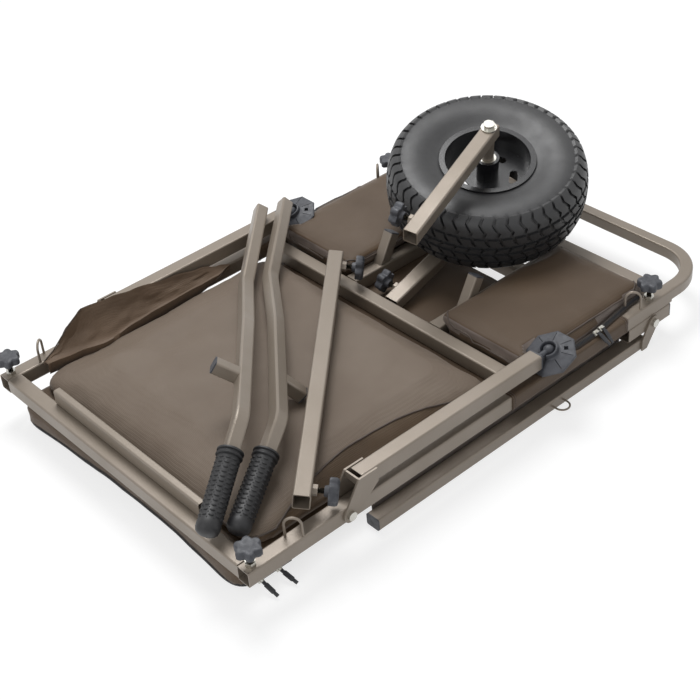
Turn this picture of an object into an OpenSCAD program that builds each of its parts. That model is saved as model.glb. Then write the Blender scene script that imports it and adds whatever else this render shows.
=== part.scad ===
// Folding tackle barrow, folded flat and lying upside down, with its loose
// handles, cross tube and wheel stacked on top. Millimetres, +Z up, the origin
// on the ground under the middle of the frame, +X towards the wheel end.

/* [Frame] */
// Length of the side rails
frame_l = 870; // [840:1:900]
// Width over the side rails
frame_w = 620; // [600:1:640]
// Side of the square frame tube
tube = 25; // [24:0.5:27]
// Wall of every square tube
wall = 1.5; // [1.2:0.1:2]
// Outer corner radius of the square tubes
corner_r = 3; // [2:0.1:4]
// Height of the top face of the rails above the ground
rail_top = 80; // [78:0.5:84]
// Middle bar, from the open rail ends to its near face
mid_bar_at = 522; // [510:1:530]
// Distance between the middles of the two tubes of the wheel bay
bay_gap = 195; // [185:1:205]

/* [End lip] */
// Length of the raised lip on the end bar
lip_l = 360; // [300:1:420]
// Height of the lip above the end bar
lip_h = 25; // [20:1:30]
// Depth of the lip
lip_d = 13; // [10:0.5:16]

/* [Wheel posts] */
// Side of the square wheel posts
post = 20; // [18:0.5:22]
// Height of the post tops above the bay tubes
post_h = 45; // [35:1:55]
// Lean of the posts away from upright, in degrees
post_lean = 30; // [20:1:35]
// Foot of the posts, from the open rail ends
post_at = 616; // [605:1:625]

/* [Front loop] */
// Side of the square loop tube that slides in the rails
loop_tube = 21; // [20:0.1:21.2]
// How far the loop stands out of the rails
loop_out = 113; // [100:1:125]
// Length of the loop's legs inside the rails
loop_in = 150; // [140:1:180]
// Centreline radius of the loop's bends
loop_bend = 76; // [60:1:90]

/* [Legs] */
// Pivot of the legs, from the open rail ends
leg_pivot_at = 175; // [165:1:185]
// Gap between the rail and the folded leg above it
leg_gap = 14; // [12:0.5:16]
// Length of the leg tube
leg_l = 357; // [340:1:370]
// Start of the leg tube past its pivot
leg_heel = 28; // [26:0.5:32]
// Thickness of the cheek and clevis straps
strap_t = 3; // [2.5:0.1:3.2]
// Radius of the strap ends round the pivots
strap_r = 12; // [10:0.1:12.2]
// Side clearance between a strap and the tube it straddles
side_gap = 0.3; // [0.2:0.05:0.5]
// Diameter of the pivot bolts
bolt_d = 8; // [7:0.1:8.2]
// Radial running clearance of bolts, screws and the axle
run_gap = 0.05; // [0.03:0.01:0.08]

/* [Feet] */
// Width of the octagonal foot plates across the flats
foot_w = 76; // [70:1:78]
// Thickness of the foot plates
foot_t = 5; // [4:0.1:5.5]
// Radius of the ball on the end of each leg
ball_r = 9; // [8:0.1:9.2]
// Outer radius of the cup on each foot plate
cup_r = 15; // [13.5:0.1:16]
// Reach of the ball centre past the leg tube
ball_reach = 30; // [29:0.5:33]
// Tilt of the folded foot plates, in degrees
foot_tilt = 24; // [22:0.5:25]

/* [Lower arms] */
// Height of the arm tubes that fold under the rails
arm_h = 20; // [18:0.5:22]
// Free end of the arms, from the open rail ends
arm_from = 226; // [215:1:240]
// Pivot of the arms, from the open rail ends
arm_pivot_at = 823; // [818:1:826]
// Length of the hinge blocks under the rails
block_l = 100; // [90:1:104]

/* [Clamp knobs] */
// Diameter over the lobes of the knobs
knob_d = 40; // [36:0.5:42]
// Thickness of the knob heads
knob_h = 14; // [12:0.5:16]
// Bare screw between a nut and the collar of its knob
knob_stand = 9; // [6:0.5:12]
// Width across flats of the welded nuts
nut_af = 14; // [13:0.5:15]
// Height of the welded nuts
nut_h = 7; // [6:0.5:8]
// Distance of the clamp screws from the ends of the rails
knob_in = 14; // [12:0.5:16]
// Distance of the front clamp screws from the front rail ends
front_knob_in = 44; // [40:0.5:50]

/* [Tie rings] */
// Wire diameter of the rings
ring_wire = 4; // [3:0.1:5]
// Distance between the legs of a ring
ring_w = 24; // [20:0.5:25]
// Height of a ring over its rail
ring_h = 34; // [30:0.5:38]

/* [Wheel] */
// Outer diameter of the tyre
tyre_d = 336; // [330:1:338]
// Width of the tyre
tyre_w = 118; // [112:1:120]
// Rubber thickness of the tyre
tyre_t = 9; // [7:0.5:11]
// Diameter over the rim flanges
rim_d = 154; // [150:1:158]
// Distance between the rim flanges
rim_w = 96; // [90:1:98]
// Sheet thickness of the rim
rim_t = 3; // [2.5:0.1:3.5]
// Diameter of the axle bolt
axle_d = 12; // [11:0.1:12.5]
// Outside diameter of the hub
hub_d = 38; // [36:0.5:42]
// Length of the hub
hub_l = 100; // [98:0.5:102]
// Outside diameter of the two bearings
bearing_d = 28; // [26:0.1:30]
// Width of each bearing
bearing_w = 9; // [8:0.1:10]
// Windows cut in the rim disc
windows = 5; // [3:1:6]

/* [Fork arms] */
// Reach of the fork arms from the axle to their open ends
fork_reach = 262; // [255:1:264]
// Length of the fork arms beyond the axle
fork_tail = 14; // [13:0.5:18]
// Height of the upper arm's middle above the wheel's middle plane
upper_h = 101; // [98:0.5:104]
// Depth of the lower arm's middle below the wheel's middle plane
lower_h = 76; // [74:0.5:78]

/* [Handles] */
// Side of the square handle tube
handle_tube = 21; // [20:0.1:22]
// Centreline radius of the bends in the handle tubes
handle_bend = 60; // [45:1:75]
// Diameter of the grips
grip_d = 34; // [33:0.5:36]
// Length of the grips
grip_l = 126; // [115:1:130]
// Length of the peg on each handle
peg_l = 46; // [40:1:48]

/* [Cross tube] */
// Length of the loose cross tube
cross_l = 590; // [560:1:600]

/* [Bags] */
// Height of the folded bag under the frame
base_h = 54.7; // [52:0.1:54.8]
// Height of the main bag's panel above the rails
panel_h = 14; // [8:0.5:15]
// Thickness of the fabric sleeves round the rails
sleeve_t = 1.2; // [1:0.1:1.4]
// Height of the pocket lids above the rails
pocket_h = 26; // [20:0.5:30]

/* [Hidden] */
$fn = 48;
rear = -frame_l / 2;
front = frame_l / 2;
rail_y = (frame_w - tube) / 2;
inner_y = rail_y - tube / 2;
rail_z = rail_top - tube / 2;
rail_base = rail_top - tube;
mid_x = rear + mid_bar_at;
bay_y = bay_gap / 2;
leg_x = rear + leg_pivot_at;
leg_z = rail_top + leg_gap + tube / 2;
leg_end = leg_x + leg_heel + leg_l;
ball_x = leg_end + ball_reach;
ball_z = leg_z + 1.5;
foot_drop = 9;
block_z = rail_base - tube / 2;
arm_x = rear + arm_pivot_at;
block_end = front - 5;
cross_under = block_end - block_l + 8;
bore_r = bolt_d / 2 + run_gap;
cap_t = 2;
plug_gap = 0.05;
loop_x = front + loop_out - loop_tube / 2;
wheel_at = [362.1, 25.3, 185.1];
wheel_turn = [11, -8, 0];
axle_r = axle_d / 2;
upper_dir = -164;
lower_dir = -172.5;
handle_runs = [200, 150, 255, 176];
handle_bends = [17, -4, -31];
handle_1_at = [96.9, 307.6, 134.8];
handle_1_turn = [57.2, 5.1, -136.7];
handle_2_at = [138.1, 291.2, 135.4];
handle_2_turn = [44.4, 5.8, -137.6];
cross_at = [-321.5, -287.6, 116.4];
cross_dir = 44;
cross_roll = 8;
cross_knob_in = 26;
paint = "#a99d8d";
dark = "#45474d";
zinc = "#b9bbbd";
light_cloth = "#857a6c";
brown_cloth = "#6a5848";

// Square with round corners, centred, and the hollow section cut from it
module round_square(s, r) {
    square([s, s - 2 * r], center = true);
    square([s - 2 * r, s], center = true);
    for (x = [-1, 1], y = [-1, 1])
        translate([x * (s / 2 - r), y * (s / 2 - r)]) circle(r);
}
module round_rect(w, h, r) {
    square([w, h - 2 * r], center = true);
    square([w - 2 * r, h], center = true);
    for (x = [-1, 1], y = [-1, 1])
        translate([x * (w / 2 - r), y * (h / 2 - r)]) circle(r);
}
module section(s = tube) {
    difference() {
        round_square(s, corner_r);
        round_square(s - 2 * wall, corner_r - wall);
    }
}
module along_x(x0, l, y, z, s = tube) {
    translate([x0, y, z]) rotate([90, 0, 90]) linear_extrude(l) section(s);
}
module along_y(x, l, z, s = tube) {
    translate([x, l / 2, z]) rotate([90, 0, 0]) linear_extrude(l) section(s);
}
module hex(af, h) {
    cylinder(h = h, r = af / 2 / cos(30), $fn = 6);
}

// Side rail with its pivot bore and the holes for the two clamp screws
module near_rail() {
    color(paint) difference() {
        along_x(rear, frame_l, -rail_y, rail_z);
        translate([leg_x, -rail_y + tube, rail_z]) rotate([90, 0, 0])
            cylinder(h = 2 * tube, r = bore_r);
        for (x = [rear + knob_in, front - front_knob_in])
            translate([x, -rail_y, rail_top - 2 * wall]) cylinder(h = tube, r = bore_r);
    }
}
module far_rail() {
    mirror([0, 1, 0]) near_rail();
}

// Bars welded between the rails
module end_bar() {
    color(paint) along_y(rear + tube / 2, 2 * inner_y, rail_z);
}
module mid_bar() {
    color(paint) along_y(mid_x + tube / 2, 2 * inner_y, rail_z);
}
module nose_bar() {
    color(paint) along_y(front - tube / 2, 2 * inner_y, rail_z);
}
module end_lip() {
    color(paint) translate([rear + tube + lip_d / 2 - 4, lip_l / 2, rail_top + lip_h / 2])
        rotate([90, 0, 0]) linear_extrude(lip_l) difference() {
            round_rect(lip_d, lip_h, corner_r);
            round_rect(lip_d - 2 * wall, lip_h - 2 * wall, corner_r - wall);
        }
}
module bay_tube(side) {
    color(paint) along_x(mid_x + tube, front - tube - mid_x - tube, side * bay_y, rail_z);
}
module near_bay_tube() {
    bay_tube(-1);
}
module far_bay_tube() {
    bay_tube(1);
}

// Leaning posts that keep the stowed wheel in place, open at the top
post_run = post_h / cos(post_lean);
module post_frame(side) {
    translate([rear + post_at, side * bay_y, rail_top]) rotate([0, post_lean, 0]) children();
}
module wheel_posts() {
    color(paint) for (side = [-1, 1])
        difference() {
            post_frame(side) translate([0, 0, -post]) linear_extrude(post_run + post) section(post);
            translate([rear + post_at - 2 * post, side * bay_y - post, rail_top - 2 * post])
                cube([4 * post, 2 * post, 2 * post]);
        }
}

// Square tubes under the front of the rails that carry the lower arms
module hinge_blocks() {
    color(paint) for (side = [-1, 1])
        difference() {
            along_x(block_end - block_l, block_l, side * rail_y, block_z);
            translate([arm_x, side * rail_y + tube, block_z]) rotate([90, 0, 0])
                cylinder(h = 2 * tube, r = bore_r);
        }
}
module lower_crossbar() {
    color(paint) along_y(cross_under + tube / 2, 2 * inner_y, block_z);
}

// Moulded plugs in the tops of the posts and the front of the hinge blocks
module plug(s) {
    translate([0, 0, -8]) linear_extrude(8) round_square(s - 2 * wall - 2 * plug_gap, corner_r - wall);
    linear_extrude(cap_t) round_square(s, corner_r);
}
module tube_plugs() {
    color(dark) for (side = [-1, 1]) {
        post_frame(side) translate([0, 0, post_run]) plug(post);
        translate([block_end, side * rail_y, block_z]) rotate([90, 0, 90]) plug(tube);
    }
}

// Nuts welded over the clamp holes
module weld_nut() {
    difference() {
        hex(nut_af, nut_h);
        translate([0, 0, -1]) cylinder(h = nut_h + 2, r = bore_r);
    }
}
module clamp_nuts() {
    color(zinc) for (side = [-1, 1], x = [rear + knob_in, front - front_knob_in])
        translate([x, side * rail_y, rail_top]) weld_nut();
}

// Bent wire rings welded to the rail tops
module wire_ring(w, h, d) {
    for (x = [-w / 2, w / 2]) translate([x, 0, 0]) cylinder(h = h - w / 2 - d / 2, r = d / 2);
    translate([0, 0, h - w / 2 - d / 2]) rotate([90, 0, 0])
        rotate_extrude(angle = 180) translate([w / 2, 0]) circle(d / 2);
}
module tie_rings() {
    color(paint) for (p = [[rear + 88, -1], [rear + 70, 1], [front - 84, -1], [front - 76, 1]])
        translate([p[0], p[1] * rail_y, rail_top]) rotate([0, 0, -45 * p[1] * -1])
            wire_ring(ring_w, ring_h, ring_wire);
}

// Folded bag under the frame
module slab(x0, x1, y, z0, z1, r) {
    translate([(x0 + x1) / 2, 0, z0]) linear_extrude(z1 - z0) round_rect(x1 - x0, 2 * y, r);
}
module base_bag() {
    color(brown_cloth) hull() {
        slab(rear - 15, front - 115, inner_y - 2, base_h * 0.25, base_h * 0.75, 40, $fn = 32);
        slab(rear - 5, front - 125, inner_y - 12, 0, base_h, 36, $fn = 32);
    }
}

// Main bag between the rails, with its light panel on top
module main_bag() {
    color(light_cloth) hull() {
        slab(rear + 36, mid_x - 9, inner_y - 12, rail_base + 0.3, rail_top - 12, 40, $fn = 32);
        slab(rear + 44, mid_x - 17, inner_y - 22, rail_top - 12, rail_top - 3, 34, $fn = 32);
        slab(rear + 130, mid_x - 60, inner_y - 90, rail_top, rail_top + panel_h, 30, $fn = 32);
    }
}

// Side pocket in the bay and the sleeve that ties it round the rail
module pocket() {
    y0 = -inner_y + 0.4;
    y1 = -bay_y - tube / 2 - 0.4;
    x0 = mid_x + tube + 4;
    x1 = front - tube - 33;
    foot_clear = 44;
    hull() {
        translate([x0 + 20, (y0 + y1) / 2, rail_base + 0.3]) linear_extrude(tube)
            translate([(x1 - x0) / 2 - 20, 0]) round_rect(x1 - x0, y1 - y0, 12, $fn = 32);
        translate([x0 + 14, y1 - 14, rail_top + 12]) cylinder(h = pocket_h - 16, r = 12, $fn = 32);
        translate([x1 - 14, y1 - 14, rail_top]) cylinder(h = pocket_h - 14, r = 12, $fn = 32);
    }
    hull() {
        translate([x0 + 80, -rail_y + 10, rail_top + 0.3]) cylinder(h = 12, r = 14, $fn = 32);
        translate([x1 - 120, -rail_y + 10, rail_top + 0.3]) cylinder(h = 17, r = 14, $fn = 32);
        translate([x1 - 14, -inner_y + 19, rail_top + 0.3]) cylinder(h = 19, r = 14, $fn = 32);
        translate([x0 + foot_clear + 10, y1 - 40, rail_top + 0.3]) cylinder(h = 14, r = 12, $fn = 32);
        translate([x0 + foot_clear, y1 - 14, rail_top + 0.3]) cylinder(h = pocket_h - 2, r = 12, $fn = 32);
        translate([x1 - 14, y1 - 60, rail_top + 0.3]) cylinder(h = pocket_h, r = 12, $fn = 32);
        translate([x1 - 14, y1 - 14, rail_top + 0.3]) cylinder(h = pocket_h - 14, r = 12, $fn = 32);
    }
    sleeve_in = tube + 0.6;
    difference() {
        translate([rear + 496, -rail_y, rail_z]) rotate([90, 0, 90]) linear_extrude(264)
            difference() {
                round_square(sleeve_in + 2 * sleeve_t, corner_r + sleeve_t);
                round_square(sleeve_in, corner_r);
            }
        translate([rear, -inner_y - 1, 0]) cube([frame_l, tube, rail_top + 0.1]);
    }
}
module near_pocket() {
    color(brown_cloth) pocket();
}
module far_pocket() {
    color(brown_cloth) mirror([0, 1, 0]) pocket();
}

// Front loop: a square tube bent into a U that slides out of both rails
module front_loop() {
    leg = loop_in + loop_x - front - loop_bend;
    color(paint) {
        for (side = [-1, 1]) {
            along_x(front - loop_in, leg, side * rail_y, rail_z, loop_tube);
            translate([loop_x - loop_bend, side * (rail_y - loop_bend), rail_z])
                rotate([0, 0, side > 0 ? 0 : -90])
                    rotate_extrude(angle = 90, $fn = 96) translate([loop_bend, 0]) section(loop_tube);
        }
        along_y(loop_x, 2 * (rail_y - loop_bend), rail_z, loop_tube);
    }
}

// Leg: a square tube with two cheek straps and the web that stops it upright
module strap_outline() {
    hull() {
        circle(strap_r, $fn = 32);
        translate([leg_heel - 9, leg_gap + tube / 2 + 2]) square([34, tube - 2]);
    }
}
module bolt_hole(x, z) {
    translate([x, -rail_y + 2 * tube, z]) rotate([90, 0, 0]) cylinder(h = 4 * tube, r = bolt_d / 2);
}
module leg_side() {
    web_x = leg_heel - 9;
    difference() {
        union() {
            along_x(leg_x + leg_heel, leg_l, -rail_y, leg_z);
            for (y = [-rail_y - tube / 2 - side_gap - strap_t, -rail_y + tube / 2 + side_gap])
                translate([leg_x, y + strap_t, rail_z]) rotate([90, 0, 0])
                    linear_extrude(strap_t) strap_outline();
            for (s = [-1, 1]) translate([leg_x + leg_heel, -rail_y + s * (tube + side_gap) / 2, leg_z])
                translate([0, -side_gap / 2 - 0.01, -tube / 2 + 2]) cube([25, side_gap + 0.02, tube - 4]);
            translate([leg_x + web_x, -rail_y - tube / 2 - side_gap, leg_z - tube / 2 + 12])
                cube([strap_t, tube + 2 * side_gap, tube - 13]);
        }
        bolt_hole(leg_x, rail_z);
    }
}
module near_leg() {
    color(paint) leg_side();
}
module far_leg() {
    color(paint) mirror([0, 1, 0]) leg_side();
}

// Pivot bolt with a flat head outside and a thin nut inside
module pivot_bolt(x, z) {
    out = tube / 2 + side_gap + strap_t;
    translate([x, -rail_y - out, z]) rotate([-90, 0, 0]) {
        cylinder(h = 2 * out, r = bolt_d / 2);
        translate([0, 0, -4.5]) cylinder(h = 4.5, r = 7);
        translate([0, 0, 2 * out]) hex(13, 4);
    }
}
module near_leg_bolt() {
    color(zinc) pivot_bolt(leg_x, rail_z);
}
module far_leg_bolt() {
    color(zinc) mirror([0, 1, 0]) pivot_bolt(leg_x, rail_z);
}

// Ball stud plugged into the leg tube
module ball_stud() {
    translate([leg_end, -rail_y, leg_z]) rotate([90, 0, 90]) {
        linear_extrude(3) round_square(tube, corner_r);
        translate([0, 0, -10]) linear_extrude(10)
            round_square(tube - 2 * wall - 2 * plug_gap, corner_r - wall);
    }
    translate([leg_end, -rail_y, ball_z]) rotate([0, 90, 0]) cylinder(h = ball_reach, r = 5);
    translate([ball_x, -rail_y, ball_z]) sphere(ball_r, $fn = 64);
}
module near_foot_ball() {
    color(dark) ball_stud();
}
module far_foot_ball() {
    color(dark) mirror([0, 1, 0]) ball_stud();
}

// Octagonal foot plate with the cup that snaps over the ball
module foot() {
    flat_r = foot_w / 2 / cos(22.5);
    translate([ball_x, -rail_y, ball_z]) rotate([0, -foot_tilt, 0]) difference() {
        union() {
            translate([0, 0, -foot_drop - foot_t / 2]) rotate([0, 0, 22.5])
                cylinder(h = foot_t, r = flat_r, $fn = 8);
            translate([0, 0, -foot_drop]) cylinder(h = foot_drop, r = cup_r);
            difference() {
                sphere(cup_r, $fn = 64);
                translate([-cup_r, -cup_r, -2 * cup_r]) cube([2 * cup_r, 2 * cup_r, 2 * cup_r]);
                translate([-cup_r, -cup_r, cup_r - 4]) cube([2 * cup_r, 2 * cup_r, cup_r]);
            }
        }
        sphere(ball_r + 0.3, $fn = 64);
        translate([0, 0, 2]) cylinder(h = cup_r, r = ball_r * 0.72);
        translate([-foot_w / 2 + 12, -6.5, -foot_drop + foot_t / 2 + 0.3])
            cube([foot_w / 2 - 12, 13, 2 * cup_r]);
    }
}
module near_foot() {
    color(dark) foot();
}
module far_foot() {
    color(dark) mirror([0, 1, 0]) foot();
}

// Lower arm folded under the rail, hung from its hinge block by a clevis
module clevis_outline() {
    hull() {
        circle(strap_r, $fn = 32);
        translate([-27, -block_z]) square([12, arm_h]);
    }
}
module lower_arm() {
    arm_end = arm_x - 15;
    difference() {
        union() {
            translate([rear + arm_from, -rail_y, arm_h / 2]) rotate([90, 0, 90])
                linear_extrude(arm_end - rear - arm_from) difference() {
                    round_rect(tube, arm_h, corner_r);
                    round_rect(tube - 2 * wall, arm_h - 2 * wall, corner_r - wall);
                }
            for (y = [-rail_y - tube / 2 - side_gap - strap_t, -rail_y + tube / 2 + side_gap])
                translate([arm_x, y + strap_t, block_z]) rotate([90, 0, 0])
                    linear_extrude(strap_t) clevis_outline();
            for (s = [-1, 1]) translate([arm_end - 12, -rail_y + s * (tube + side_gap) / 2, arm_h / 2])
                translate([0, -side_gap / 2 - 0.01, -arm_h / 2 + 3]) cube([12, side_gap + 0.02, arm_h - 6]);
        }
        bolt_hole(arm_x, block_z);
    }
}
module near_lower_arm() {
    color(paint) lower_arm();
}
module far_lower_arm() {
    color(paint) mirror([0, 1, 0]) lower_arm();
}
module near_arm_bolt() {
    color(zinc) pivot_bolt(arm_x, block_z);
}
module far_arm_bolt() {
    color(zinc) mirror([0, 1, 0]) pivot_bolt(arm_x, block_z);
}
module arm_plug() {
    translate([rear + arm_from, -rail_y, arm_h / 2]) rotate([90, 0, -90]) {
        translate([0, 0, -8]) linear_extrude(8)
            round_rect(tube - 2 * wall - 2 * plug_gap, arm_h - 2 * wall - 2 * plug_gap, corner_r - wall);
        linear_extrude(cap_t) round_rect(tube, arm_h, corner_r);
    }
}
module near_arm_plug() {
    color(dark) arm_plug();
}
module far_arm_plug() {
    color(dark) mirror([0, 1, 0]) arm_plug();
}
module near_arm_ring() {
    color(paint) translate([rear + 598, -rail_y - tube / 2, arm_h / 2]) rotate([90, 0, 0])
        wire_ring(ring_w, 22, ring_wire - 1);
}

// Clamp knob: lobed head, collar and screw, standing on its nut along +Z
module clamp_knob(reach) {
    lobe_r = knob_d * 0.17;
    base = nut_h + knob_stand;
    translate([0, 0, -reach]) cylinder(h = reach + base + 1, r = bolt_d / 2);
    translate([0, 0, base]) cylinder(h = 7, r = 8);
    translate([0, 0, base + 6]) {
        cylinder(h = knob_h, r = knob_d / 2 - lobe_r);
        for (a = [0:60:300]) rotate([0, 0, a]) translate([knob_d / 2 - lobe_r, 0, 0])
            cylinder(h = knob_h - 1.5, r = lobe_r);
    }
}
module rail_knob(x, side) {
    color(dark) translate([x, side * rail_y, rail_top]) clamp_knob(wall + 0.2);
}
module near_rear_knob() {
    rail_knob(rear + knob_in, -1);
}
module far_rear_knob() {
    rail_knob(rear + knob_in, 1);
}
module near_front_knob() {
    rail_knob(front - front_knob_in, -1);
}
module far_front_knob() {
    rail_knob(front - front_knob_in, 1);
}

// Bent handle tube, swept along straight runs and arcs. A station is a point on
// the centreline with its heading
bend_steps = 5;
function heading(i) = i == 0 ? 0 : heading(i - 1) + handle_bends[i - 1];
function run_dir(i) = [cos(heading(i)), sin(heading(i))];
function run_from(i) = i == 0 ? [0, 0] : run_from(i - 1) + handle_runs[i - 1] * run_dir(i - 1);
function arc_point(c, k, a) = [c[0] + k * handle_bend * sin(a), c[1] - k * handle_bend * cos(a), a];
function bend_station(i, step) =
    let (h = heading(i), k = sign(handle_bends[i]), cut = handle_bend * tan(abs(handle_bends[i]) / 2),
        c = run_from(i + 1) - cut * run_dir(i) + k * handle_bend * [-sin(h), cos(h)])
    arc_point(c, k, h + handle_bends[i] * step / bend_steps);
function end_station(i) = [run_from(i)[0], run_from(i)[1], heading(min(i, len(handle_bends)))];
stations = concat([end_station(0)],
    [for (i = [0:len(handle_bends) - 1], step = [0:bend_steps]) bend_station(i, step)],
    [end_station(len(handle_runs))]);
function ring(s, r) = [for (q = [0:3], k = [0:2]) (s / 2 - r) * sqrt(2) * [cos(90 * q + 45), sin(90 * q + 45)]
    + r * [cos(90 * q + 45 * k), sin(90 * q + 45 * k)]];
function ring_at(p, flat) = [for (uv = flat) [p[0] - uv[0] * sin(p[2]), p[1] + uv[0] * cos(p[2]), uv[1]]];
module bent_tube(s, r) {
    outer = ring(s, r);
    inner = ring(s - 2 * wall, r - wall);
    m = len(outer);
    n = len(stations);
    function at(i, j) = i * m + j % m;
    function skin(k) = [for (i = [0:n - 2], j = [0:m - 1])
        [at(i + k, j), at(i + k + 1, j), at(i + k + 1, j + 1), at(i + k, j + 1)]];
    function turned(f) = [for (q = f) [q[3], q[2], q[1], q[0]]];
    ends = [for (j = [0:m - 1]) [at(n - 1, j), at(2 * n - 1, j), at(2 * n - 1, j + 1), at(n - 1, j + 1)]];
    starts = [for (j = [0:m - 1]) [at(0, j), at(0, j + 1), at(n, j + 1), at(n, j)]];
    polyhedron([for (side = [outer, inner], p = stations) each ring_at(p, side)],
        concat(skin(0), turned(skin(n)), ends, starts));
}
turn_2 = handle_bends[0];
turn_3 = turn_2 + handle_bends[1];
turn_4 = turn_3 + handle_bends[2];
bend_3 = [handle_runs[0] + handle_runs[1] * cos(turn_2), handle_runs[1] * sin(turn_2), 0];
bend_4 = bend_3 + handle_runs[2] * [cos(turn_3), sin(turn_3), 0];
module peg_frame(side) {
    translate(bend_3) rotate([0, 0, turn_3]) translate([handle_runs[2] * 0.6, 0, side * handle_tube / 2])
        rotate([side > 0 ? 0 : 180, 0, 0]) children();
}
module handle(side) {
    bent_tube(handle_tube, corner_r);
    peg_frame(side) translate([0, 0, -wall * 0.6])
        linear_extrude(peg_l - handle_tube / 2 + wall * 0.6) difference() {
            round_square(handle_tube - 0.6, corner_r);
            round_square(handle_tube - 0.6 - 2 * wall, corner_r - wall);
        }
}
module grip() {
    translate(bend_4) rotate([0, 0, turn_4]) translate([handle_runs[3] - grip_l + 4, 0, 0])
        rotate([90, 0, 90]) difference() {
            union() {
                cylinder(h = grip_l - 6, r = grip_d / 2);
                translate([0, 0, grip_l - 6]) cylinder(h = 6, r1 = grip_d / 2, r2 = grip_d / 2 - 5);
                for (z = [0, 7]) translate([0, 0, z]) cylinder(h = 3, r = grip_d / 2 + 2);
            }
            translate([0, 0, -1]) linear_extrude(grip_l - 3)
                round_square(handle_tube + 2 * plug_gap, corner_r);
        }
}
module handle_1() {
    translate(handle_1_at) rotate(handle_1_turn) children();
}
module handle_2() {
    translate(handle_2_at) rotate(handle_2_turn) children();
}
module left_handle() {
    color(paint) handle_1() handle(1);
}
module left_grip() {
    color("#2b2b2d") handle_1() grip();
}
module left_plug() {
    color(dark) handle_1() peg_frame(1) translate([0, 0, peg_l - handle_tube / 2]) plug(handle_tube - 0.6);
}
module right_handle() {
    color(paint) handle_2() handle(-1);
}
module right_grip() {
    color("#2b2b2d") handle_2() grip();
}
module right_plug() {
    color(dark) handle_2() peg_frame(-1) translate([0, 0, peg_l - handle_tube / 2]) plug(handle_tube - 0.6);
}

// Loose cross tube, open at both ends, with a welded nut and a knob near each
module cross_frame() {
    translate(cross_at) rotate([0, 0, cross_dir]) rotate([cross_roll, 0, 0]) children();
}
module cross_screw(x) {
    translate([x, -tube / 2, 0]) rotate([90, 0, 0]) children();
}
module cross_tube() {
    color(paint) cross_frame() {
        difference() {
            rotate([90, 0, 90]) linear_extrude(cross_l) section();
            for (x = [cross_knob_in, cross_l - cross_knob_in])
                translate([x, 0, 0]) rotate([90, 0, 0]) cylinder(h = tube, r = bore_r);
        }
        for (x = [cross_knob_in, cross_l - cross_knob_in]) cross_screw(x) weld_nut();
    }
}
module cross_low_knob() {
    color(dark) cross_frame() cross_screw(cross_knob_in) clamp_knob(wall + 4);
}
module cross_high_knob() {
    color(dark) cross_frame() cross_screw(cross_l - cross_knob_in) clamp_knob(wall + 4);
}

// Everything on the axle is drawn round +Z at the wheel's middle, then tilted
module wheel_frame() {
    translate(wheel_at) rotate(wheel_turn) children();
}
upper_face = upper_h + tube / 2;
lower_face = lower_h + tube / 2;
module axle_bolt() {
    color(zinc) wheel_frame() {
        translate([0, 0, -lower_face - 10]) cylinder(h = lower_face + upper_face + 10, r = axle_r);
        translate([0, 0, upper_face + 2.5]) cylinder(h = 7, r = 9);
        translate([0, 0, upper_face]) cylinder(h = 2.5, r = 13);
    }
}
module axle_spacers() {
    color(paint) wheel_frame() for (span = [[hub_l / 2 + 0.3, upper_h - tube / 2],
            [-lower_h + tube / 2, -hub_l / 2 - 0.3]])
        translate([0, 0, span[0]]) difference() {
            cylinder(h = span[1] - span[0], r = 10);
            translate([0, 0, -1]) cylinder(h = span[1] - span[0] + 2, r = axle_r + run_gap);
        }
}
module axle_nut() {
    color(zinc) wheel_frame() translate([0, 0, -lower_face - 9]) difference() {
        hex(19, 9);
        translate([0, 0, -1]) cylinder(h = 12, r = axle_r + run_gap);
    }
}

// Tyre, revolved as a thick open shell whose beads sit behind the rim flanges
module tyre() {
    r_out = tyre_d / 2;
    r_in = rim_d / 2 - 3;
    band = r_out - r_in;
    color("#262626") wheel_frame() rotate_extrude($fn = 144) difference() {
        union() {
            translate([r_in + band / 2 + 8, 0]) round_rect(band - 16, tyre_w, 26);
            translate([r_in + band / 2, 0]) round_rect(band, rim_w - 2 * rim_t - 1, 8);
        }
        translate([r_in + band / 2 + 8, 0]) round_rect(band - 16 - 2 * tyre_t, tyre_w - 2 * tyre_t, 18);
        translate([r_in - 1, -rim_w / 2 + rim_t + 12])
            square([band / 2, rim_w - 2 * rim_t - 24]);
    }
}

// Rim: two flanges, a barrel and a disc with windows, on a hub tube
module rim() {
    barrel_r = rim_d / 2 - 3.3;
    color("#1c1c1e") wheel_frame() difference() {
        rotate_extrude($fn = 120) {
            translate([barrel_r - rim_t, -rim_w / 2]) square([rim_t, rim_w]);
            for (z = [-rim_w / 2, rim_w / 2 - rim_t])
                translate([barrel_r - rim_t, z]) square([rim_d / 2 + 3 - barrel_r + rim_t, rim_t]);
            translate([hub_d / 2 - 2, -rim_t / 2 + 8]) square([barrel_r - hub_d / 2 + 1, rim_t]);
            translate([bearing_d / 2 + 0.05, -hub_l / 2]) square([hub_d / 2 - bearing_d / 2, hub_l]);
        }
        for (a = [0:360 / windows:359]) rotate([0, 0, a + 20])
            translate([hub_d / 2 + 25, 0, 0]) linear_extrude(30, center = true) {
                square([14, 18], center = true);
                for (y = [-9, 9]) translate([0, y]) circle(7);
            }
    }
}
module wheel_bearings() {
    color(zinc) wheel_frame() for (z = [-hub_l / 2, hub_l / 2 - bearing_w])
        translate([0, 0, z]) difference() {
            cylinder(h = bearing_w, r = bearing_d / 2);
            translate([0, 0, -1]) cylinder(h = bearing_w + 2, r = axle_r + run_gap);
        }
}

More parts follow.
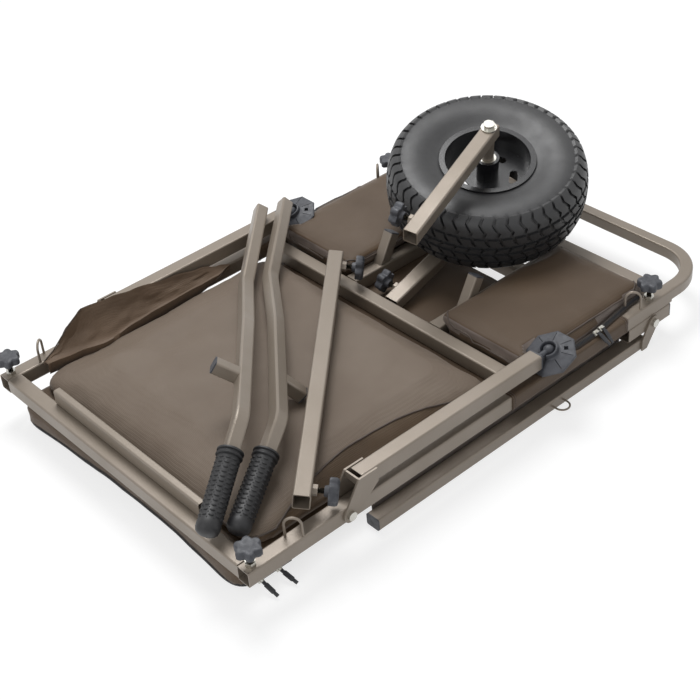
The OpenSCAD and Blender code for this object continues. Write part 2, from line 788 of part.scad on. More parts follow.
// Fork arms: square tubes on the axle, open at the far end, with a clamp knob
module fork_arm(h, dir, knob_side) {
    rotate([0, 0, dir]) translate([0, 0, h]) {
        difference() {
            translate([-fork_tail, 0, 0]) rotate([90, 0, 90]) linear_extrude(fork_reach + fork_tail)
                section();
            translate([0, 0, -tube]) cylinder(h = 2 * tube, r = axle_r + run_gap);
            translate([fork_reach - 34, 0, 0]) rotate([90, 0, knob_side > 0 ? 180 : 0])
                cylinder(h = tube, r = bore_r);
        }
        fork_screw(knob_side) weld_nut();
    }
}
module fork_screw(knob_side) {
    translate([fork_reach - 34, knob_side * tube / 2, 0]) rotate([90, 0, knob_side > 0 ? 180 : 0]) children();
}
module upper_arm() {
    color(paint) wheel_frame() fork_arm(upper_h, upper_dir, -1);
}
module upper_arm_knob() {
    color(dark) wheel_frame() rotate([0, 0, upper_dir]) translate([0, 0, upper_h])
        fork_screw(-1) clamp_knob(wall + 4);
}
module lower_fork_arm() {
    color(paint) wheel_frame() fork_arm(-lower_h, lower_dir, -1);
}
module lower_arm_knob() {
    color(dark) wheel_frame() rotate([0, 0, lower_dir]) translate([0, 0, -lower_h])
        fork_screw(-1) clamp_knob(wall + 4);
}

near_rail();
far_rail();
end_bar();
end_lip();
mid_bar();
nose_bar();
near_bay_tube();
far_bay_tube();
wheel_posts();
hinge_blocks();
lower_crossbar();
tube_plugs();
clamp_nuts();
tie_rings();
base_bag();
main_bag();
near_pocket();
far_pocket();
front_loop();
near_leg();
near_leg_bolt();
near_foot_ball();
near_foot();
far_leg();
far_leg_bolt();
far_foot_ball();
far_foot();
near_lower_arm();
near_arm_bolt();
near_arm_plug();
near_arm_ring();
far_lower_arm();
far_arm_bolt();
far_arm_plug();
near_rear_knob();
far_rear_knob();
near_front_knob();
far_front_knob();
left_handle();
left_grip();
left_plug();
right_handle();
right_grip();
right_plug();
cross_tube();
cross_low_knob();
cross_high_knob();
axle_bolt();
axle_spacers();
axle_nut();
tyre();
rim();
wheel_bearings();
upper_arm();
upper_arm_knob();
lower_fork_arm();
lower_arm_knob();
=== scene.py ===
import math

import bmesh
import bpy
from mathutils import Matrix, Vector
from mathutils.bvhtree import BVHTree
from mathutils.noise import fractal


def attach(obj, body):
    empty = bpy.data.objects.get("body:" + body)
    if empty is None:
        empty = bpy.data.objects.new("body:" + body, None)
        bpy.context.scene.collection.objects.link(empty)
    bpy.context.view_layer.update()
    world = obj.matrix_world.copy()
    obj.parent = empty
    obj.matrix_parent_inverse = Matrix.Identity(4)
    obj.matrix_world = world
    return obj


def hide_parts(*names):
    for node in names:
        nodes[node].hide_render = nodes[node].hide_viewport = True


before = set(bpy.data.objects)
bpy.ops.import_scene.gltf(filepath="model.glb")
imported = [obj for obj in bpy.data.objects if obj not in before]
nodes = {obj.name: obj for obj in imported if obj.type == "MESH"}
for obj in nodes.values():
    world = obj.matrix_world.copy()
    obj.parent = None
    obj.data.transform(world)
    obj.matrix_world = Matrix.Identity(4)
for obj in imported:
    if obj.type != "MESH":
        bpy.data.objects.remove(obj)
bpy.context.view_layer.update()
MM = 0.001

# Studio
# A pale paper floor under an even white surround, lit by one broad lamp above
# and a weaker one beside it. The camera stands where the photograph was taken.
scene = bpy.context.scene
scene.view_settings.view_transform = "Standard"


def new_object(name, mesh):
    obj = bpy.data.objects.new(name, mesh)
    scene.collection.objects.link(obj)
    return obj


def mesh_piece(name, bm, material=None, smooth_angle=40):
    """Closes a bmesh into a named object, smooth except at sharp edges."""
    mesh = bpy.data.meshes.new(name)
    limit = math.radians(smooth_angle)
    for face in bm.faces:
        face.smooth = True
    for edge in bm.edges:
        edge.smooth = len(edge.link_faces) != 2 or edge.calc_face_angle(0) < limit
    bm.to_mesh(mesh)
    bm.free()
    if material:
        mesh.materials.append(material)
    return new_object(name, mesh)


def light_path_mix(tree, seen, unseen, output):
    """Shows one shader to the camera and in reflections, and lights with the other."""
    path = tree.nodes.new("ShaderNodeLightPath")
    total = path.outputs["Is Camera Ray"]
    for extra in ("Is Glossy Ray", "Is Transmission Ray"):
        add = tree.nodes.new("ShaderNodeMath")
        add.use_clamp = True
        tree.links.new(total, add.inputs[0])
        tree.links.new(path.outputs[extra], add.inputs[1])
        total = add.outputs[0]
    mix = tree.nodes.new("ShaderNodeMixShader")
    tree.links.new(total, mix.inputs[0])
    tree.links.new(unseen.outputs[0], mix.inputs[1])
    tree.links.new(seen.outputs[0], mix.inputs[2])
    tree.links.new(mix.outputs[0], output.inputs["Surface"])


world = bpy.data.worlds.new("surround")
world.use_nodes = True
scene.world = world
world.node_tree.nodes.clear()
surround_seen = world.node_tree.nodes.new("ShaderNodeBackground")
surround_seen.inputs["Color"].default_value = (1, 1, 1, 1)
surround_seen.inputs["Strength"].default_value = 1.0
surround_light = world.node_tree.nodes.new("ShaderNodeBackground")
surround_light.inputs["Color"].default_value = (0.97, 0.985, 1, 1)
surround_light.inputs["Strength"].default_value = 0.4
light_path_mix(world.node_tree, surround_seen, surround_light,
               world.node_tree.nodes.new("ShaderNodeOutputWorld"))

FLOOR_HALF = 6
FLOOR_DROP = 0.5 * MM
bm = bmesh.new()
bmesh.ops.create_grid(bm, x_segments=1, y_segments=1, size=FLOOR_HALF)
bmesh.ops.translate(bm, verts=bm.verts, vec=(0, 0, -FLOOR_DROP))
paper = bpy.data.materials.new("paper")
paper.use_nodes = True
paper_shader = paper.node_tree.nodes["Principled BSDF"]
paper_shader.inputs["Base Color"].default_value = (0.9, 0.9, 0.9, 1)
paper_shader.inputs["Roughness"].default_value = 0.9
paper_shader.inputs["Specular IOR Level"].default_value = 0.1
paper_seen = paper.node_tree.nodes.new("ShaderNodeBsdfPrincipled")
paper_seen.inputs["Base Color"].default_value = (0.36, 0.36, 0.36, 1)
paper_seen.inputs["Roughness"].default_value = 0.9
paper_seen.inputs["Specular IOR Level"].default_value = 0.1
paper_seen.inputs["Emission Color"].default_value = (1, 1, 1, 1)
paper_seen.inputs["Emission Strength"].default_value = 0.72
light_path_mix(paper.node_tree, paper_seen, paper_shader, paper.node_tree.nodes["Material Output"])
floor = mesh_piece("floor", bm, paper)


def area_lamp(name, place, aim, size, watts):
    data = bpy.data.lights.new(name, "AREA")
    data.shape = "DISK"
    data.size = size
    data.energy = watts
    lamp = bpy.data.objects.new(name, data)
    scene.collection.objects.link(lamp)
    lamp.location = place
    lamp.rotation_euler = (Vector(aim) - Vector(place)).to_track_quat("-Z", "Y").to_euler()


area_lamp("overhead", (0.5, 0.9, 2.4), (0, 0, 0.1), 1.4, 42)
area_lamp("side", (-2.2, -0.6, 1.3), (0, 0, 0.1), 1.4, 10)

CAMERA_TURNS = (38.96, 36.70, -5.13)
CAMERA_PLACE = (-1.1425, -1.4336, 1.4082)
yaw, pitch, roll = (math.radians(a) for a in CAMERA_TURNS)
ahead = Vector((math.sin(yaw) * math.cos(pitch), math.cos(yaw) * math.cos(pitch), -math.sin(pitch)))
level = Vector((math.cos(yaw), -math.sin(yaw), 0))
above = level.cross(ahead)
camera_x = math.cos(roll) * level + math.sin(roll) * above
camera_y = math.cos(roll) * above - math.sin(roll) * level
camera = bpy.data.objects.new("camera", bpy.data.cameras.new("camera"))
scene.collection.objects.link(camera)
camera.data.lens = 73.96
camera.data.sensor_width = 36
camera.matrix_world = (Matrix.Translation(CAMERA_PLACE)
                       @ Matrix((camera_x, camera_y, -ahead)).transposed().to_4x4())
scene.camera = camera

# Welded frame
# Rails, bars, posts, legs, arms and loop of square steel tube, cut, welded and
# then powder coated in a satin tan with a faint pearl.


def srgb(code):
    """Linear colour of a hex code."""
    parts = [int(code[i:i + 2], 16) / 255 for i in (1, 3, 5)]
    return (*[p / 12.92 if p <= 0.04045 else ((p + 0.055) / 1.055) ** 2.4 for p in parts], 1)


def noise(tree, vector, scale, detail):
    """Noise texture whose size comes from a socket."""
    node = tree.nodes.new("ShaderNodeTexNoise")
    node.inputs["Detail"].default_value = detail
    tree.links.new(vector, node.inputs["Vector"])
    tree.links.new(scale, node.inputs["Scale"])
    return node.outputs["Fac"]


def spread(tree, value, low, high, out_low=0.0, out_high=1.0):
    """Maps a value's useful range; each limit is a number or a socket."""
    node = tree.nodes.new("ShaderNodeMapRange")
    tree.links.new(value, node.inputs["Value"])
    for label, number in (("From Min", low), ("From Max", high), ("To Min", out_low), ("To Max", out_high)):
        if isinstance(number, (int, float)):
            node.inputs[label].default_value = number
        else:
            tree.links.new(number, node.inputs[label])
    return node.outputs["Result"]


def blend_colour(tree, mask, first, second):
    """Mixes two colour sockets by a mask."""
    node = tree.nodes.new("ShaderNodeMix")
    node.data_type = "RGBA"
    tree.links.new(mask, node.inputs["Factor"])
    tree.links.new(first, node.inputs["A"])
    tree.links.new(second, node.inputs["B"])
    return node.outputs["Result"]


def finish_group(name, detail, low, high):
    """Node group that mottles a colour and its gloss, with its entry and its exit."""
    tree = bpy.data.node_groups.new(name, "ShaderNodeTree")
    for way, kind, labels in (("INPUT", "Vector", ("Vector",)), ("INPUT", "Color", ("Colour", "Shade")),
                              ("INPUT", "Float", ("Patch scale", "Grain scale", "Gloss", "Dull")),
                              ("OUTPUT", "Color", ("Color",)), ("OUTPUT", "Float", ("Roughness", "Height"))):
        for label in labels:
            tree.interface.new_socket(label, in_out=way, socket_type="NodeSocket" + kind)
    entry, leave = tree.nodes.new("NodeGroupInput"), tree.nodes.new("NodeGroupOutput")
    given = entry.outputs
    patches = noise(tree, given["Vector"], given["Patch scale"], detail)
    mottled = blend_colour(tree, spread(tree, patches, low, high), given["Colour"], given["Shade"])
    tree.links.new(mottled, leave.inputs["Color"])
    tree.links.new(spread(tree, patches, 0.3, 0.7, given["Gloss"], given["Dull"]), leave.inputs["Roughness"])
    return tree, entry, leave


grain_tree, grain_in, grain_out = finish_group("hard_surface", 5.0, 0.35, 0.7)
grain_tree.links.new(noise(grain_tree, grain_in.outputs["Vector"], grain_in.outputs["Grain scale"], 2.0),
                     grain_out.inputs["Height"])


def set_finish(effect, colours, scales, gloss):
    """Fills a group's sockets: colour and shade, patch and grain scale, gloss and dull."""
    values = [srgb(code) for code in colours] + [*scales, *gloss]
    for socket, value in zip(effect.inputs[1:], values):
        socket.default_value = value


def surface(name, group, finish, bump, metallic=0.0, coat=0.0, specular=0.5, sheen=0.0):
    """Material whose colour, roughness and grain come from a node group."""
    material = bpy.data.materials.new(name)
    material.use_nodes = True
    tree = material.node_tree
    shader = tree.nodes["Principled BSDF"]
    shader.inputs["Metallic"].default_value = metallic
    shader.inputs["Coat Weight"].default_value = coat
    shader.inputs["Coat Roughness"].default_value = 0.25
    shader.inputs["Specular IOR Level"].default_value = specular
    shader.inputs["Sheen Weight"].default_value = sheen
    place = tree.nodes.new("ShaderNodeTexCoord")
    effect = tree.nodes.new("ShaderNodeGroup")
    effect.node_tree = group
    tree.links.new(place.outputs["Object"], effect.inputs["Vector"])
    set_finish(effect, *finish)
    tree.links.new(effect.outputs["Color"], shader.inputs["Base Color"])
    tree.links.new(effect.outputs["Roughness"], shader.inputs["Roughness"])
    relief = tree.nodes.new("ShaderNodeBump")
    relief.inputs["Strength"].default_value = 1.0
    relief.inputs["Distance"].default_value = bump
    tree.links.new(effect.outputs["Height"], relief.inputs["Height"])
    tree.links.new(relief.outputs["Normal"], shader.inputs["Normal"])
    return material


powder_coat = surface("powder_coat", grain_tree, (("#8d8276", "#84796c"), (9.0, 1400.0), (0.33, 0.46)),
                      bump=0.00012, metallic=0.3, coat=0.12)
PAINTED = ("near_rail", "far_rail", "end_bar", "end_lip", "mid_bar", "nose_bar", "near_bay_tube",
           "far_bay_tube", "wheel_posts", "hinge_blocks", "lower_crossbar", "tie_rings", "front_loop",
           "near_leg", "far_leg", "near_lower_arm", "far_lower_arm", "near_arm_ring", "cross_tube",
           "left_handle", "right_handle", "upper_arm", "lower_fork_arm", "axle_spacers")


def dress(names, material):
    """Gives carried-over nodes their material and slot."""
    for name in names:
        mesh = nodes[name].data
        mesh.materials.clear()
        mesh.materials.append(material)


dress(PAINTED, powder_coat)

# Bolts, nuts and bearings
# Turned and cold-headed steel parts with a bright zinc plate that has gone a
# little uneven.
zinc_plate = surface("zinc_plate", grain_tree, (("#c9c8c2", "#b4b0a6"), (60.0, 900.0), (0.2, 0.36)),
                     bump=0.00005, metallic=1.0)
dress(("clamp_nuts", "near_leg_bolt", "far_leg_bolt", "near_arm_bolt", "far_arm_bolt", "axle_bolt",
       "axle_nut", "wheel_bearings"), zinc_plate)

# Plugs and ball studs
# Blue-grey nylon mouldings with a fine speckled grain, pushed into the tube
# ends.
nylon = surface("nylon", grain_tree, (("#47494f", "#3b3c41"), (120.0, 700.0), (0.4, 0.6)),
                bump=0.0003)
dress(("tube_plugs", "near_foot_ball", "far_foot_ball", "near_arm_plug", "far_arm_plug", "left_plug",
       "right_plug"), nylon)

# Swivel feet
# Moulded octagonal plates whose facets rise to a cup that snaps over the ball,
# with an open slot towards the leg and moulded creases between the facets.
BALL = Vector((155, 297.5, 108)) * MM
FOOT_TILT = -24
FOOT_SIDES = 64
FOOT_PROFILE = ((36.2, 0, -11.5), (38, 0, -10.6), (38, 0, -8.6), (36.6, 0, -7.6), (24, 0.35, -3.6),
                (17.6, 0.8, -1.6), (15.6, 1, -0.4), (15, 1, 5.2), (14.4, 1, 6.4), (13.2, 1, 6.8),
                (12.2, 1, 6.2), (11.2, 1, 4), (10.4, 1, 0), (9.9, 1, -3.2))
CREASE_TURNS = (22.5, 67.5, 157.5, 247.5, 292.5, 337.5)
CREASE_FALL = 16
CLIP_TURN = -45


def apply_modifiers(obj):
    """Bakes an object's modifiers into its mesh."""
    graph = bpy.context.evaluated_depsgraph_get()
    mesh = bpy.data.meshes.new_from_object(obj.evaluated_get(graph))
    old = obj.data
    obj.modifiers.clear()
    obj.data = mesh
    bpy.data.meshes.remove(old)


def fit(piece, body="frame", node=None):
    """Gives a piece the body it moves with and hides the node it stands for, if one is given."""
    if node:
        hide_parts(node)
    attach(piece, body)


def octagon_reach(turn):
    """Distance to an octagon's side, for a flat distance of one."""
    return 1 / math.cos((turn + math.pi / 8) % (math.pi / 4) - math.pi / 8)


def swivel_foot():
    """Facetted plate and cup as rings that change from octagons to circles."""
    bm = bmesh.new()
    rings = []
    for flat, roundness, z in FOOT_PROFILE:
        ring = []
        for k in range(FOOT_SIDES):
            turn = math.tau * k / FOOT_SIDES
            reach = flat * (octagon_reach(turn) * (1 - roundness) + roundness)
            ring.append(bm.verts.new((reach * math.cos(turn) * MM, reach * math.sin(turn) * MM, z * MM)))
        rings.append(ring)
    for first, second in zip(rings, rings[1:]):
        for k in range(FOOT_SIDES):
            after = (k + 1) % FOOT_SIDES
            bm.faces.new((first[k], first[after], second[after], second[k]))
    bm.faces.new(rings[-1])
    bm.faces.new(rings[0][::-1])
    bmesh.ops.recalc_face_normals(bm, faces=bm.faces)
    return bm


def rounded_block(bm, low, high, radius):
    """Adds a box with round edges to a bmesh, its corners given in millimetres."""
    low, high = Vector(low) * MM, Vector(high) * MM
    made = bmesh.ops.create_cube(bm, size=1)["verts"]
    for v in made:
        v.co = Vector(a + (b - a) * (c + 0.5) for a, b, c in zip(low, high, v.co))
    edges = list({e for v in made for e in v.link_edges})
    bmesh.ops.bevel(bm, geom=edges, offset=radius * MM, segments=4, profile=0.5, affect="EDGES", material=-1)


def cut_with(obj, low, high, radius, matrix):
    """Takes a round-edged block out of a piece."""
    bm = bmesh.new()
    rounded_block(bm, low, high, radius)
    bm.transform(matrix)
    cutter = mesh_piece("cutter", bm)
    cut = obj.modifiers.new("cut", "BOOLEAN")
    cut.operation = "DIFFERENCE"
    cut.object = cutter
    cut.solver = "EXACT"
    apply_modifiers(obj)
    bpy.data.objects.remove(cutter)


def turned(degrees, axis):
    """Matrix of a turn in degrees about an axis."""
    return Matrix.Rotation(math.radians(degrees), 4, axis)


for side, sign in (("near", -1), ("far", 1)):
    place = Matrix.Translation((BALL.x, sign * BALL.y, BALL.z)) @ turned(FOOT_TILT, "Y")
    bm = swivel_foot()
    bm.transform(place)
    foot = mesh_piece(side + "_foot_plate", bm, nylon, 28)
    cut_with(foot, (-26, -6.6, -5.6), (-4, 6.6, 20), 1.2, place)
    for turn in CREASE_TURNS:
        groove = place @ turned(turn, "Z") @ turned(CREASE_FALL, "Y")
        cut_with(foot, (19, -0.45, -3.4), (37, 0.45, 4), 0.2, groove)
    cut_with(foot, (22.5, -3.4, -9), (28.5, 3.4, 4), 0.3, place @ turned(CLIP_TURN, "Z"))
    foot.data.shade_flat()
    fit(foot, side + "_foot", side + "_foot")

# Clamp knobs
# Six-lobed nylon knobs moulded on a zinc-plated M8 screw. Each clamps a tube
# through a nut welded to it.
knob_steel = surface("knob_steel", grain_tree, (("#cfccc4", "#b0aa9e"), (80.0, 900.0), (0.18, 0.32)),
                     bump=0.00004, metallic=1.0)
KNOB_RADIUS = 20 * MM
COLLAR_FROM = 16 * MM
HEAD_FROM = 22 * MM
HEAD_THICK = 14 * MM
HEAD_STEPS = ((0.12, 1.06), (0.55, 1.0), (0.25, 0.93), (0.08, 0.8))
SCREW_RADIUS = 4 * MM
THREAD_ROOT = 0.86
THREAD_STEP = 0.62 * MM


def drawn_out(bm, base):
    """Extrudes a cap, which stays; gives the new ring of vertices and the new cap."""
    made = bmesh.ops.extrude_face_region(bm, geom=base)["geom"]
    ring = [g for g in made if isinstance(g, bmesh.types.BMVert)]
    return ring, [g for g in made if isinstance(g, bmesh.types.BMFace)]


def lobed_head(matrix):
    """Knob head and collar along local +Z, from a circle pressed into lobes."""
    bm = bmesh.new()
    bmesh.ops.create_circle(bm, cap_ends=True, radius=1, segments=72)
    rim = list(bm.verts)
    for v in rim:
        turn = math.atan2(v.co.y, v.co.x)
        lobe = (0.5 + 0.5 * math.cos(6 * turn)) ** 0.75
        v.co *= KNOB_RADIUS * (0.74 + 0.26 * lobe)
        v.co.z = HEAD_FROM
    cap = list(bm.faces)
    for v in rim:
        v.co.xy *= 0.94
    for lift, grow in HEAD_STEPS:
        ring, cap = drawn_out(bm, cap)
        bmesh.ops.translate(bm, verts=ring, vec=(0, 0, HEAD_THICK * lift))
        for v in ring:
            v.co.xy *= grow
    bmesh.ops.inset_region(bm, faces=cap, thickness=3.2 * MM, depth=-1.1 * MM)
    collar = bmesh.ops.create_cone(bm, cap_ends=True, segments=36, radius1=7.2 * MM, radius2=9 * MM,
                                   depth=HEAD_FROM - COLLAR_FROM + 1 * MM)["verts"]
    bmesh.ops.translate(bm, verts=collar, vec=(0, 0, (HEAD_FROM + COLLAR_FROM + 1 * MM) / 2))
    bmesh.ops.recalc_face_normals(bm, faces=bm.faces)
    bm.transform(matrix)
    return bm


def threaded_screw(length_below, matrix):
    """Screw along local +Z with turned thread ridges, from a stack of rings."""
    bm = bmesh.new()
    bottom = -length_below
    bmesh.ops.create_circle(bm, cap_ends=True, radius=SCREW_RADIUS * THREAD_ROOT, segments=20)
    bmesh.ops.translate(bm, verts=bm.verts, vec=(0, 0, bottom))
    cap = list(bm.faces)
    for step in range(int((COLLAR_FROM + 1 * MM - bottom) / THREAD_STEP)):
        ring, cap = drawn_out(bm, cap)
        bmesh.ops.translate(bm, verts=ring, vec=(0, 0, THREAD_STEP))
        for v in ring:
            v.co.xy *= 1 / THREAD_ROOT if step % 2 == 0 else THREAD_ROOT
    bmesh.ops.recalc_face_normals(bm, faces=bm.faces)
    bm.transform(matrix)
    return bm


def clamp_knob(name, matrix, reach):
    """A knob and its screw, which reaches so far below the matrix's origin."""
    fit(mesh_piece(name + "_head", lobed_head(matrix), nylon, 50), name, name)
    fit(mesh_piece(name + "_screw", threaded_screw(reach, matrix), knob_steel, 60), name)


RAIL_Y = 297.5 * MM
RAIL_TOP = 80 * MM
RAIL_KNOBS = {"rear": -421 * MM, "front": 391 * MM}
for side, sign in (("near", -1), ("far", 1)):
    for end, x in RAIL_KNOBS.items():
        clamp_knob(f"{side}_{end}_knob", Matrix.Translation((x, sign * RAIL_Y, RAIL_TOP)), 1.7 * MM)

HALF_TUBE = 12.5 * MM
CROSS_LENGTH = 590 * MM
CROSS_KNOB_INSET = 26 * MM
CROSS_FRAME = Matrix.Translation(Vector((-321.5, -287.6, 116.4)) * MM) @ turned(44, "Z") @ turned(8, "X")
TO_MINUS_Y = turned(90, "X")
for name, x in (("cross_low_knob", CROSS_KNOB_INSET), ("cross_high_knob", CROSS_LENGTH - CROSS_KNOB_INSET)):
    clamp_knob(name, CROSS_FRAME @ Matrix.Translation((x, -HALF_TUBE, 0)) @ TO_MINUS_Y, 5.5 * MM)

FORK_KNOB_REACH = 228 * MM
FORK_KNOBS = (("upper_arm_knob", -164, 101 * MM), ("lower_arm_knob", -172.5, -76 * MM))
WHEEL_FRAME = Matrix.Translation(Vector((362.1, 25.3, 185.1)) * MM) @ turned(-8, "Y") @ turned(11, "X")
for name, turn, height in FORK_KNOBS:
    spot = Matrix.Translation((FORK_KNOB_REACH, -HALF_TUBE, height))
    clamp_knob(name, WHEEL_FRAME @ turned(turn, "Z") @ spot @ TO_MINUS_Y, 5.5 * MM)

# Handle grips
# Black rubber sleeves pushed over the handle tubes, with two thin flanges at
# the top, rows of short raised ribs with dots between, and a domed closed end.
grip_rubber = surface("grip_rubber", grain_tree, (("#1d1d1f", "#161618"), (70.0, 1200.0), (0.42, 0.6)),
                      bump=0.0001)
HANDLE_RUNS = (200, 150, 255, 176)
HANDLE_BENDS = (17, -4, -31)
HANDLES = {"left": ((96.9, 307.6, 134.8), (57.2, 5.1, -136.7)),
           "right": ((138.1, 291.2, 135.4), (44.4, 5.8, -137.6))}
GRIP_LENGTH = 126
GRIP_OVERHANG = 4
GRIP_SECTION = ((10.8, 0), (18.6, 0), (19.2, 1), (19.2, 2.6), (18.4, 3.4), (17, 3.8), (17, 6.6),
                (18.2, 7.1), (19, 8), (19, 9.4), (18.2, 10.4), (16.2, 11), (16.2, 108), (17, 110), (17, 117),
                (15.8, 121.5), (12.5, 124.6), (6.5, 126.2), (0, 126.6))
RIB_ROWS = 13
RIB_COLUMNS = 10
FIRST_RIB = 16.5
RIB_PITCH = 7.2


def grip_end(side):
    """Frame at the open end of the grip, with +Z along the grip to its dome."""
    place, (rx, ry, rz) = HANDLES[side]
    matrix = Matrix.Translation(Vector(place) * MM) @ turned(rz, "Z") @ turned(ry, "Y") @ turned(rx, "X")
    for run, bend in zip(HANDLE_RUNS, HANDLE_BENDS):
        matrix = matrix @ Matrix.Translation((run * MM, 0, 0)) @ turned(bend, "Z")
    bare = HANDLE_RUNS[3] - GRIP_LENGTH + GRIP_OVERHANG
    return matrix @ Matrix.Translation((bare * MM, 0, 0)) @ turned(90, "Y")


def grip(matrix):
    """Grip turned from a half section, with ribs and dots set round it."""
    bm = bmesh.new()
    verts = [bm.verts.new((r * MM, 0, z * MM)) for r, z in GRIP_SECTION]
    edges = [bm.edges.new(pair) for pair in zip(verts, verts[1:])]
    bmesh.ops.spin(bm, geom=verts + edges, axis=(0, 0, 1), cent=(0, 0, 0), steps=48, angle=math.tau,
                   use_merge=True)
    bmesh.ops.remove_doubles(bm, verts=bm.verts, dist=1e-5)
    bmesh.ops.recalc_face_normals(bm, faces=bm.faces)
    pattern = bmesh.new()
    for row in range(RIB_ROWS):
        z = (FIRST_RIB + row * RIB_PITCH) * MM
        rib = bmesh.ops.create_uvsphere(pattern, u_segments=10, v_segments=6, radius=1)["verts"]
        bmesh.ops.transform(pattern, verts=rib, matrix=Matrix.Translation((16.0 * MM, 0, z))
                            @ Matrix.Diagonal((1.7 * MM, 3.9 * MM, 1.6 * MM, 1)))
        dot = bmesh.ops.create_uvsphere(pattern, u_segments=6, v_segments=4, radius=0.9 * MM)["verts"]
        bmesh.ops.transform(pattern, verts=dot, matrix=turned(180 / RIB_COLUMNS, "Z")
                            @ Matrix.Translation((16.1 * MM, 0, z + RIB_PITCH / 2 * MM)))
    bmesh.ops.spin(pattern, geom=pattern.verts[:] + pattern.edges[:] + pattern.faces[:], axis=(0, 0, 1),
                   cent=(0, 0, 0), steps=RIB_COLUMNS - 1, angle=math.tau * (RIB_COLUMNS - 1) / RIB_COLUMNS,
                   use_duplicate=True)
    raised = bpy.data.meshes.new("grip_pattern")
    pattern.to_mesh(raised)
    pattern.free()
    bm.from_mesh(raised)
    bpy.data.meshes.remove(raised)
    bm.transform(matrix)
    return bm


for side in HANDLES:
    sleeve = mesh_piece(side + "_grip_rubber", grip(grip_end(side)), grip_rubber, 35)
    fit(sleeve, side + "_handle", side + "_grip")

# Tyre
# Moulded rubber turf tyre: a bulging sidewall, long shoulder lugs and rows of
# zigzag blocks over the crown. It is swept, then the blocks are pulled out.
tyre_rubber = surface("tyre_rubber", grain_tree, (("#343435", "#2c2c2d"), (45.0, 500.0), (0.4, 0.48)),
                      bump=0.00025)
LUG_DEPTH = 5.0 * MM
LUG_FROM = 140 * MM
SHOULDER_FROM = 40 * MM
SWAY_FROM = 138 * MM
CROWN_HALF = 3.5 * MM
CROWN_ROW = 17
PITCHES = 46
PITCH_STEPS = 8
HALF_SECTION = ((74, 42), (78, 44.5), (84, 45.5), (92, 48), (102, 52), (114, 55.5), (126, 56.5), (135, 56),
                (142, 54.5), (147.5, 51.5), (152, 47), (155.5, 41.5), (158, 35.5), (160, 29), (161.3, 23),
                (162.2, 16.5), (162.8, 10), (163, 3.5))


def tread_block(row, step):
    """Whether this patch of the swept tyre belongs to a raised block."""
    if row in (8, 9, 10, 11, 12):
        return step % PITCH_STEPS not in (0, 1)
    if row in (14, 15):
        return (step + 4) % PITCH_STEPS not in (0, 1)
    return row == CROWN_ROW and step % PITCH_STEPS not in (0, 1)


def tyre():
    """Tyre swept from its half section, its blocks lifted and swayed to a zigzag."""
    bm = bmesh.new()
    right = [bm.verts.new((r * MM, 0, z * MM)) for r, z in HALF_SECTION]
    left = [bm.verts.new((r * MM, 0, -z * MM)) for r, z in reversed(HALF_SECTION)]
    line = right + left
    edges = [bm.edges.new(pair) for pair in zip(line, line[1:])]
    steps = PITCHES * PITCH_STEPS
    bmesh.ops.spin(bm, geom=line + edges, axis=(0, 0, 1), cent=(0, 0, 0), steps=steps, angle=math.tau,
                   use_merge=True)
    bmesh.ops.remove_doubles(bm, verts=bm.verts, dist=1e-6)
    bmesh.ops.recalc_face_normals(bm, faces=bm.faces)
    widths = [0.5 * (a[1] + b[1]) * MM for a, b in zip(HALF_SECTION, HALF_SECTION[1:])]
    raised = []
    for face in bm.faces:
        c = face.calc_center_median()
        if math.hypot(c.x, c.y) < LUG_FROM:
            continue
        step = int(((math.atan2(c.y, c.x) + math.tau) % math.tau) / math.tau * steps)
        row = CROWN_ROW
        if abs(c.z) > CROWN_HALF:
            row = min(range(len(widths)), key=lambda i: abs(widths[i] - abs(c.z)))
        if tread_block(row, step + (PITCH_STEPS // 2 if c.z < 0 else 0)):
            raised.append(face)
    made = bmesh.ops.extrude_face_region(bm, geom=raised)
    lifted = [g for g in made["geom"] if isinstance(g, bmesh.types.BMVert)]
    bmesh.ops.delete(bm, geom=raised, context="FACES_ONLY")
    for v in lifted:
        out = Vector((v.co.x, v.co.y, 0)).normalized()
        lean = Vector((0, 0, math.copysign(1, v.co.z) if abs(v.co.z) > SHOULDER_FROM else 0))
        v.co += (out + 0.35 * lean) * LUG_DEPTH * 0.9
    for v in bm.verts:
        reach = math.hypot(v.co.x, v.co.y)
        if reach > SWAY_FROM:
            sway = math.tau / PITCHES * 0.22 * math.sin(abs(v.co.z) / (14 * MM) * math.pi)
            v.co = Matrix.Rotation(sway * math.copysign(1, v.co.z), 3, "Z") @ v.co
    bm.transform(WHEEL_FRAME)
    return bm


fit(mesh_piece("tyre_moulding", tyre(), tyre_rubber, 42), "wheel", "tyre")

# Rim
# Pressed steel disc and barrel with rolled flanges, sprayed gloss black, on a
# welded hub tube.
gloss_black = surface("gloss_black", grain_tree, (("#1d1d20", "#151517"), (20.0, 300.0), (0.16, 0.28)),
                      bump=0.00004, coat=0.6)
dress(("rim",), gloss_black)

# Bags
# Sewn from coated woven polyester, light on the panel that lies uppermost and
# brown elsewhere. Padded walls and air keep them full; they bear on the frame.
cloth_tree, cloth_in, cloth_out = finish_group("woven_cloth", 4.0, 0.3, 0.72)
threads = []
for direction in ("X", "Y", "Z"):
    wave = cloth_tree.nodes.new("ShaderNodeTexWave")
    wave.bands_direction = direction
    cloth_tree.links.new(cloth_in.outputs["Vector"], wave.inputs["Vector"])
    cloth_tree.links.new(cloth_in.outputs["Grain scale"], wave.inputs["Scale"])
    threads.append(wave.outputs["Fac"])
cloth_sum = threads[0]
for extra in threads[1:]:
    add = cloth_tree.nodes.new("ShaderNodeMath")
    add.operation = "ADD"
    cloth_tree.links.new(cloth_sum, add.inputs[0])
    cloth_tree.links.new(extra, add.inputs[1])
    cloth_sum = add.outputs[0]
cloth_tree.links.new(spread(cloth_tree, cloth_sum, 0.0, 3.0), cloth_out.inputs["Height"])
